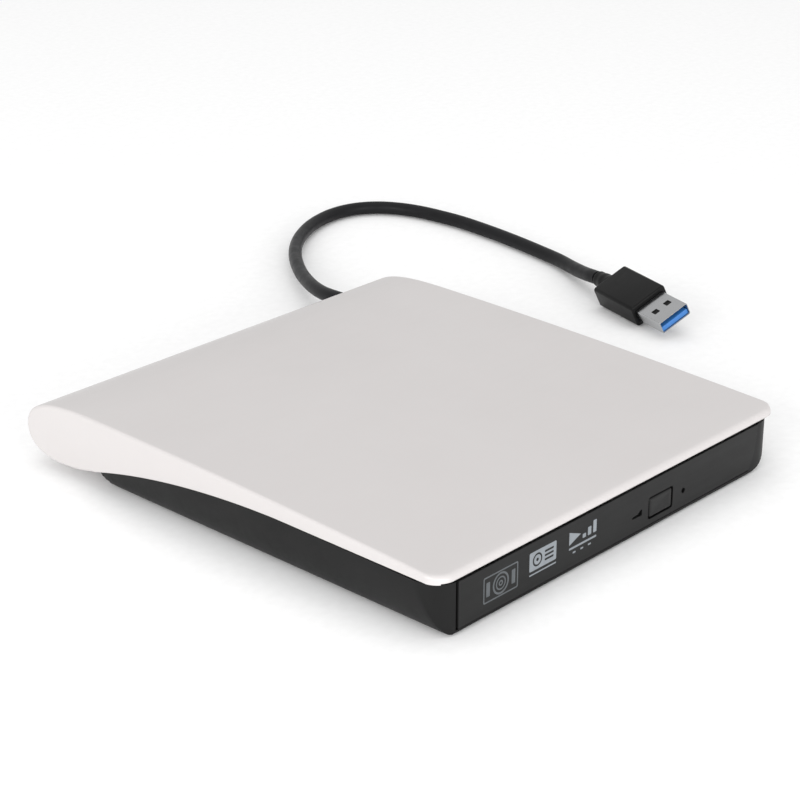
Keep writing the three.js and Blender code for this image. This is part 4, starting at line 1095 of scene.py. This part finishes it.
def circuit_board(name):
    """Green laminate: copper tracks under the lacquer, tinned pads, and drilled vias whose holes are painted near
    black as painted shade.
    """
    material, tree, shader, place = start(name)
    flat = add(tree, "ShaderNodeVectorMath", {"operation": "MULTIPLY"}, {1: (1, 1, 0.01)}, {0: place}).outputs[0]
    tracks = add(tree, "ShaderNodeTexBrick", {"offset": 0.37, "squash": 1.6, "squash_frequency": 3}, {
        "Color1": srgb("#1d5b3c"), "Color2": srgb("#206544"), "Mortar": srgb("#2f8458"), "Scale": 1.0,
        "Mortar Size": 0.09, "Brick Width": 4.1, "Row Height": 0.9,
    }, {"Vector": flat})
    cells = add(tree, "ShaderNodeTexVoronoi", {}, {"Scale": 0.42}, {"Vector": flat}).outputs["Distance"]
    via = ranged(tree, cells, 1, 0, 0.10, 0.13)
    # Painted shade: the middle of each via is painted near black for the shade inside its hole.
    hole = ranged(tree, cells, 1, 0, 0.04, 0.055)
    weave = noise(tree, place, 0.4, 2)
    tone = blend_colour(tree, ranged(tree, weave, 0, 0.35), tracks.outputs["Color"], "#174a31")
    tone = blend_colour(tree, via, tone, "#c9c4a8")
    tone = blend_colour(tree, hole, tone, "#0b0d0c")
    tree.links.new(tone, shader.inputs["Base Color"])
    tree.links.new(via, shader.inputs["Metallic"])
    tree.links.new(ranged(tree, weave, 0.28, 0.42), shader.inputs["Roughness"])
    relief(tree, shader, tracks.outputs["Fac"], 0.02)
    return material


def ribbon_film(name):
    """Flat flexible cable: bright tinned conductors showing through pale film."""
    material, tree, shader, place = start(name)
    bands = add(tree, "ShaderNodeTexWave", {"wave_type": "BANDS", "bands_direction": "X"}, {"Scale": 0.314},
                {"Vector": place}).outputs["Fac"]
    # Painted shade: stretched patches are darkened for the shade in the film's creases; the same pattern also varies
    # the roughness.
    crease_shade = noise(tree, place, 6, 3, (4, 1, 1))
    tone = blend_colour(tree, ranged(tree, bands, 0, 1, 0.45, 0.6), "#e9e4d8", "#b9b2a2")
    tone = blend_colour(tree, ranged(tree, crease_shade, 0, 0.3), tone, "#cfc8b8")
    tree.links.new(tone, shader.inputs["Base Color"])
    tree.links.new(ranged(tree, crease_shade, 0.3, 0.5), shader.inputs["Roughness"])
    relief(tree, shader, bands, 0.02)
    return material


def lens_glass(name):
    """Coated lens: tinted blue-green with a thin glossy coat and a little dust."""
    material, tree, shader, place = start(name)
    dust = noise(tree, place, 0.3, 4)
    depth = noise(tree, place, 2.5, 2)
    tone = blend_colour(tree, ranged(tree, depth, 0, 1), "#5f9fc4", "#38648f")
    tree.links.new(blend_colour(tree, ranged(tree, dust, 0, 0.25, 0.55, 0.75), tone, "#c9d6dc"),
                   shader.inputs["Base Color"])
    tree.links.new(ranged(tree, dust, 0.03, 0.2, 0.5, 0.8), shader.inputs["Roughness"])
    shader.inputs["Coat Weight"].default_value = 0.8
    shader.inputs["Coat Roughness"].default_value = 0.03
    return material


def printed_ink(name, colour, shadow, roughness=0.5):
    """Thin pad-printed ink, a little uneven where the screen let less through."""
    material, tree, shader, place = start(name)
    screen = noise(tree, place, 0.18, 2)
    patches = noise(tree, place, 2.5, 4)
    tone = blend_colour(tree, ranged(tree, patches, 0, 0.7), colour, shadow)
    tree.links.new(blend_colour(tree, ranged(tree, screen, 0, 0.5), tone, shadow), shader.inputs["Base Color"])
    tree.links.new(ranged(tree, patches, roughness - 0.05, roughness + 0.08), shader.inputs["Roughness"])
    relief(tree, shader, screen, 0.003)
    return material


def cord_jacket(name):
    """Extruded jacket: black with light scuffs and a fine skin."""
    material, tree, shader, place = start(name)
    scuffs = noise(tree, place, 3.5, 6, rough=0.65)
    skin = noise(tree, place, 0.3, 2)
    tree.links.new(blend_colour(tree, ranged(tree, scuffs, 0, 0.6), "#1a1a1b", "#202022"), shader.inputs["Base Color"])
    tree.links.new(ranged(tree, scuffs, 0.34, 0.5), shader.inputs["Roughness"])
    relief(tree, shader, skin, 0.004)
    shader.inputs["Specular IOR Level"].default_value = 0.12
    return material


FINISHES = {
    "cover": plastic("satin_white_moulded_abs", "#cbc7c6", "#c7c3c2", 0.36, 0.3, 0.002, 0.5, 40, 0.15),
    "shell": plastic("fine_grained_black_abs", "#151515", "#111111", 0.46, 0.28, 0.008, 0.2),
    "bezel": plastic("satin_black_bezel_abs", "#171717", "#131313", 0.42, 0.25, 0.005, 0.22),
    "button": plastic("satin_black_button_abs", "#151515", "#111111", 0.38, 0.25, 0.004, 0.25),
    "tray": plastic("matt_black_tray_polycarbonate", "#242426", "#1e1e20", 0.55, 0.3, 0.012, 0.4),
    "hub": plastic("glossy_black_hub_acetal", "#1d1e20", "#17181a", 0.3, 0.3, 0.003, 0.45),
    "light_pipe": plastic("smoked_clear_light_pipe", "#141816", "#0f1210", 0.15, 0.5, 0.002, 0.5, 2.0, 0.5),
    "pale_plastic": plastic("natural_acetal", "#e3decf", "#d5cfbe", 0.42, 0.3, 0.004, 0.5),
    "connector": plastic("black_glass_filled_nylon", "#1a1a1b", "#242425", 0.5, 0.18, 0.01, 0.4),
    "chip": plastic("epoxy_chip_package", "#1c1d1f", "#26272a", 0.55, 0.15, 0.008, 0.35),
    "rubber": rubber("black_silicone_rubber", "#1e1e1f", "#2b2b2c"),
    "steel": metal("galvanised_sheet_steel", "#b9bbbd", "#9ea1a4", 0.36),
    "screw_steel": metal("black_zinc_screw_steel", "#6f7276", "#54575a", 0.4, (4, 4, 1)),
    "rail_steel": metal("pressed_rail_steel", "#a2a5a8", "#868a8e", 0.38, (1, 40, 1)),
    "polished_steel": metal("ground_bright_steel", "#cdd0d2", "#b3b6b9", 0.16, (14, 14, 1), 0.2, 0.001),
    "sled": metal("die_cast_zinc_alloy", "#8f9296", "#75787c", 0.48, (1, 1, 1), 0.6, 0.012),
    "board": circuit_board("green_circuit_board"),
    "ribbon": ribbon_film("flat_flexible_cable_film"),
    "lens": lens_glass("coated_objective_lens"),
    "cord": cord_jacket("black_pvc_cord_jacket"),
    "plug_plastic": plastic("black_soft_pvc_overmould", "#0c0c0c", "#090909", 0.42, 0.3, 0.006, 0.18),
    "plug_metal": metal("nickel_plated_plug_steel", "#b6b7b8", "#b1b2b3", 0.2, (1, 12, 12), 0.2, 0.0001, 0.03),
    "plug_blue": plastic("blue_insulator_pbt", "#3c7cc4", "#306fb5", 0.3, 0.2, 0.003, 0.5),
    "contact": metal("gold_flashed_contacts", "#e2bd62", "#c79f48", 0.25, (1, 8, 1), 0.15, 0.001),
    "faint_ink": printed_ink("thin_grey_print", "#565a5d", "#474b4e"),
    "light_ink": printed_ink("pale_grey_print", "#8b9095", "#777d82"),
}


# ---------------------------------------------------------------- pieces onto bodies
def use(made, finish, body, slot, *replaced):
    """Gives a piece its material and its body, and hides the CAD nodes that it stands for; slot is not used."""
    made.data.materials.clear()
    made.data.materials.append(FINISHES[finish])
    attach(made, body)
    if replaced:
        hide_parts(*replaced)
    return made


BODY_OF = {node: body for body, members in frame["record"]["behaviour"]["bodies"].items() for node in members}
SLOT_NODES = {
    "cover": ["top_cover"],
    "shell": ["lower_shell"],
    "rubber": [
        "rubber_foot_front_left", "rubber_foot_front_right", "rubber_foot_rear_left", "rubber_foot_rear_right",
        "damper_1", "damper_2", "damper_3",
    ],
    "steel": [
        "drive_lower_case", "drive_upper_case", "sled_motor", "spindle_motor", "traverse_cover", "latch_solenoid",
        "bridge_crystal",
    ],
    "screw_steel": ["case_screw_left", "case_screw_right", "board_screw_1", "board_screw_2"],
    "board": ["drive_board", "tray_board", "bridge_board"],
    "connector": ["sata_connector", "bridge_socket"],
    "chip": ["drive_chip", "flash_chip", "bridge_chip", "eject_switch"],
    "ribbon": ["ribbon_cable"],
    "polished_steel": [
        "guide_rod_low", "guide_rod_high", "lead_screw", "latch_post", "latch_pin", "disc_clamp_ball_1",
        "disc_clamp_ball_2", "disc_clamp_ball_3",
    ],
    "rail_steel": ["slide_rail_left", "slide_rail_right"],
    "tray": ["disc_tray"],
    "bezel": ["tray_bezel"],
    "light_pipe": ["light_pipe"],
    "button": ["eject_button"],
    "pale_plastic": ["latch_lever", "lead_connector"],
    "hub": ["turntable_hub", "lens_holder"],
    "sled": ["traverse_chassis", "pickup_sled"],
    "lens": ["objective_lens"],
    "cord": ["inner_lead", "usb_cable"],
    "plug_plastic": ["cable_strain_relief", "plug_boot", "plug_overmould"],
    "plug_metal": ["plug_shell"],
    "plug_blue": ["plug_insulator"],
}
SLOT_OF = {node: slot for slot, members in SLOT_NODES.items() for node in members}


def stand_for(node, made, finish=None):
    """The piece is shown in place of this CAD node."""
    return use(made, finish or SLOT_OF[node], BODY_OF[node], SLOT_OF[node], node)


def detail_on(node, made, finish=None, slot=None):
    """A detail that rides with a CAD node's body."""
    return use(made, finish or SLOT_OF[node], BODY_OF[node], slot or SLOT_OF[node])


# ---------------------------------------------------------------- build
cord, cord_path, relief_piece, boot_piece = make_lead()
stand_for("usb_cable", cord)
stand_for("cable_strain_relief", relief_piece)
stand_for("plug_boot", boot_piece)
overmould = stand_for("plug_overmould", make_overmould())
plug_shell = stand_for("plug_shell", make_plug_shell())
tongue, cavity_shade_block, contacts = make_plug_insides()
# The black block is painted shade in the plug's empty space above the tongue.
detail_on("plug_insulator", cavity_shade_block, "plug_plastic", "plug_plastic")
stand_for("plug_insulator", tongue)
for contact in contacts:
    detail_on("plug_insulator", contact, "contact", "plug_metal")
stand_for("top_cover", make_cover())
tub, shelf, rear_wall, ribs = make_lower_shell()
stand_for("lower_shell", tub)
for extra in (shelf, rear_wall, *ribs):
    detail_on("lower_shell", extra)
for node, foot in make_feet().items():
    stand_for(node, foot)
panel, push, pipe = make_tray_front()
stand_for("tray_bezel", panel)
stand_for("eject_button", push)
stand_for("light_pipe", pipe)
for tone, prints in make_marks().items():
    for mark in prints:
        detail_on("tray_bezel", mark, f"{tone}_ink")
tray_piece, tray_extras = make_tray()
stand_for("disc_tray", tray_piece)
for extra in tray_extras:
    detail_on("disc_tray", extra)
plate_piece, plate_screws = make_traverse_cover()
stand_for("traverse_cover", plate_piece)
for screw in plate_screws:
    detail_on("traverse_cover", screw, "screw_steel", "screw_steel")
hub_piece, hub_rings, hub_claws, hub_balls = make_turntable()
stand_for("turntable_hub", hub_piece)
detail_on("turntable_hub", hub_rings[0], "rubber", "rubber")
detail_on("turntable_hub", hub_rings[1], "polished_steel", "polished_steel")
for claw in hub_claws:
    detail_on("turntable_hub", claw, "pale_plastic", "pale_plastic")
for node, ball in hub_balls.items():
    stand_for(node, ball)
holder, lens, lens_ring, magnets, wires, flex = make_pickup()
stand_for("lens_holder", holder)
stand_for("objective_lens", lens)
detail_on("lens_holder", lens_ring)
for magnet in magnets:
    detail_on("pickup_sled", magnet, "polished_steel", "polished_steel")
for wire in wires:
    detail_on("pickup_sled", wire, "contact", "polished_steel")
detail_on("pickup_sled", flex, "ribbon", "ribbon")
for node, slot in SLOT_OF.items():
    kept = frame["nodes"][node].data
    kept.materials.clear()
    kept.materials.append(FINISHES[slot])


# ---------------------------------------------------------------- stage and light
def make_stage():
    """Large pale floor in an evenly white room."""
    floor = rounded_block("floor", (-3000, -3000, -12), (3000, 3000, -0.02), 1)
    material, tree, shader, place = start("white_paper_floor")
    fibres = noise(tree, place, 3, 5)
    tree.links.new(blend_colour(tree, ranged(tree, fibres, 0, 1), "#ffffff", "#fbfbfb"), shader.inputs["Base Color"])
    tree.links.new(ranged(tree, fibres, 0.85, 0.95), shader.inputs["Roughness"])
    shader.inputs["Specular IOR Level"].default_value = 0.1
    floor.data.materials.append(material)
    world = bpy.data.worlds.new("white_room")
    world.use_nodes = True
    world.node_tree.nodes["Background"].inputs["Color"].default_value = (1, 1, 1, 1)
    world.node_tree.nodes["Background"].inputs["Strength"].default_value = 0.79
    bpy.context.scene.world = world


def lamp(name, spot, aim, size, power):
    """Rectangular area lamp at a place in metres, turned to face its aim."""
    data = bpy.data.lights.new(name, "AREA")
    data.shape = "RECTANGLE"
    data.size, data.size_y = size
    data.energy = power
    made = bpy.data.objects.new(name, data)
    made.location = spot
    made.rotation_euler = (Vector(aim) - Vector(spot)).to_track_quat("-Z", "Y").to_euler()
    bpy.context.scene.collection.objects.link(made)


make_stage()
lamp("left_softbox", (-1.3, -0.25, 0.4), (0, 0, 0.01), (1.0, 0.7), 10)
lamp("front_softbox", (-0.25, -1.3, 0.3), (0, 0, 0.01), (1.0, 0.5), 8.5)
lamp("top_softbox", (0.2, 0.3, 1.4), (0, 0, 0), (1.2, 1.2), 2.5)
bpy.context.scene.view_settings.view_transform = "Standard"
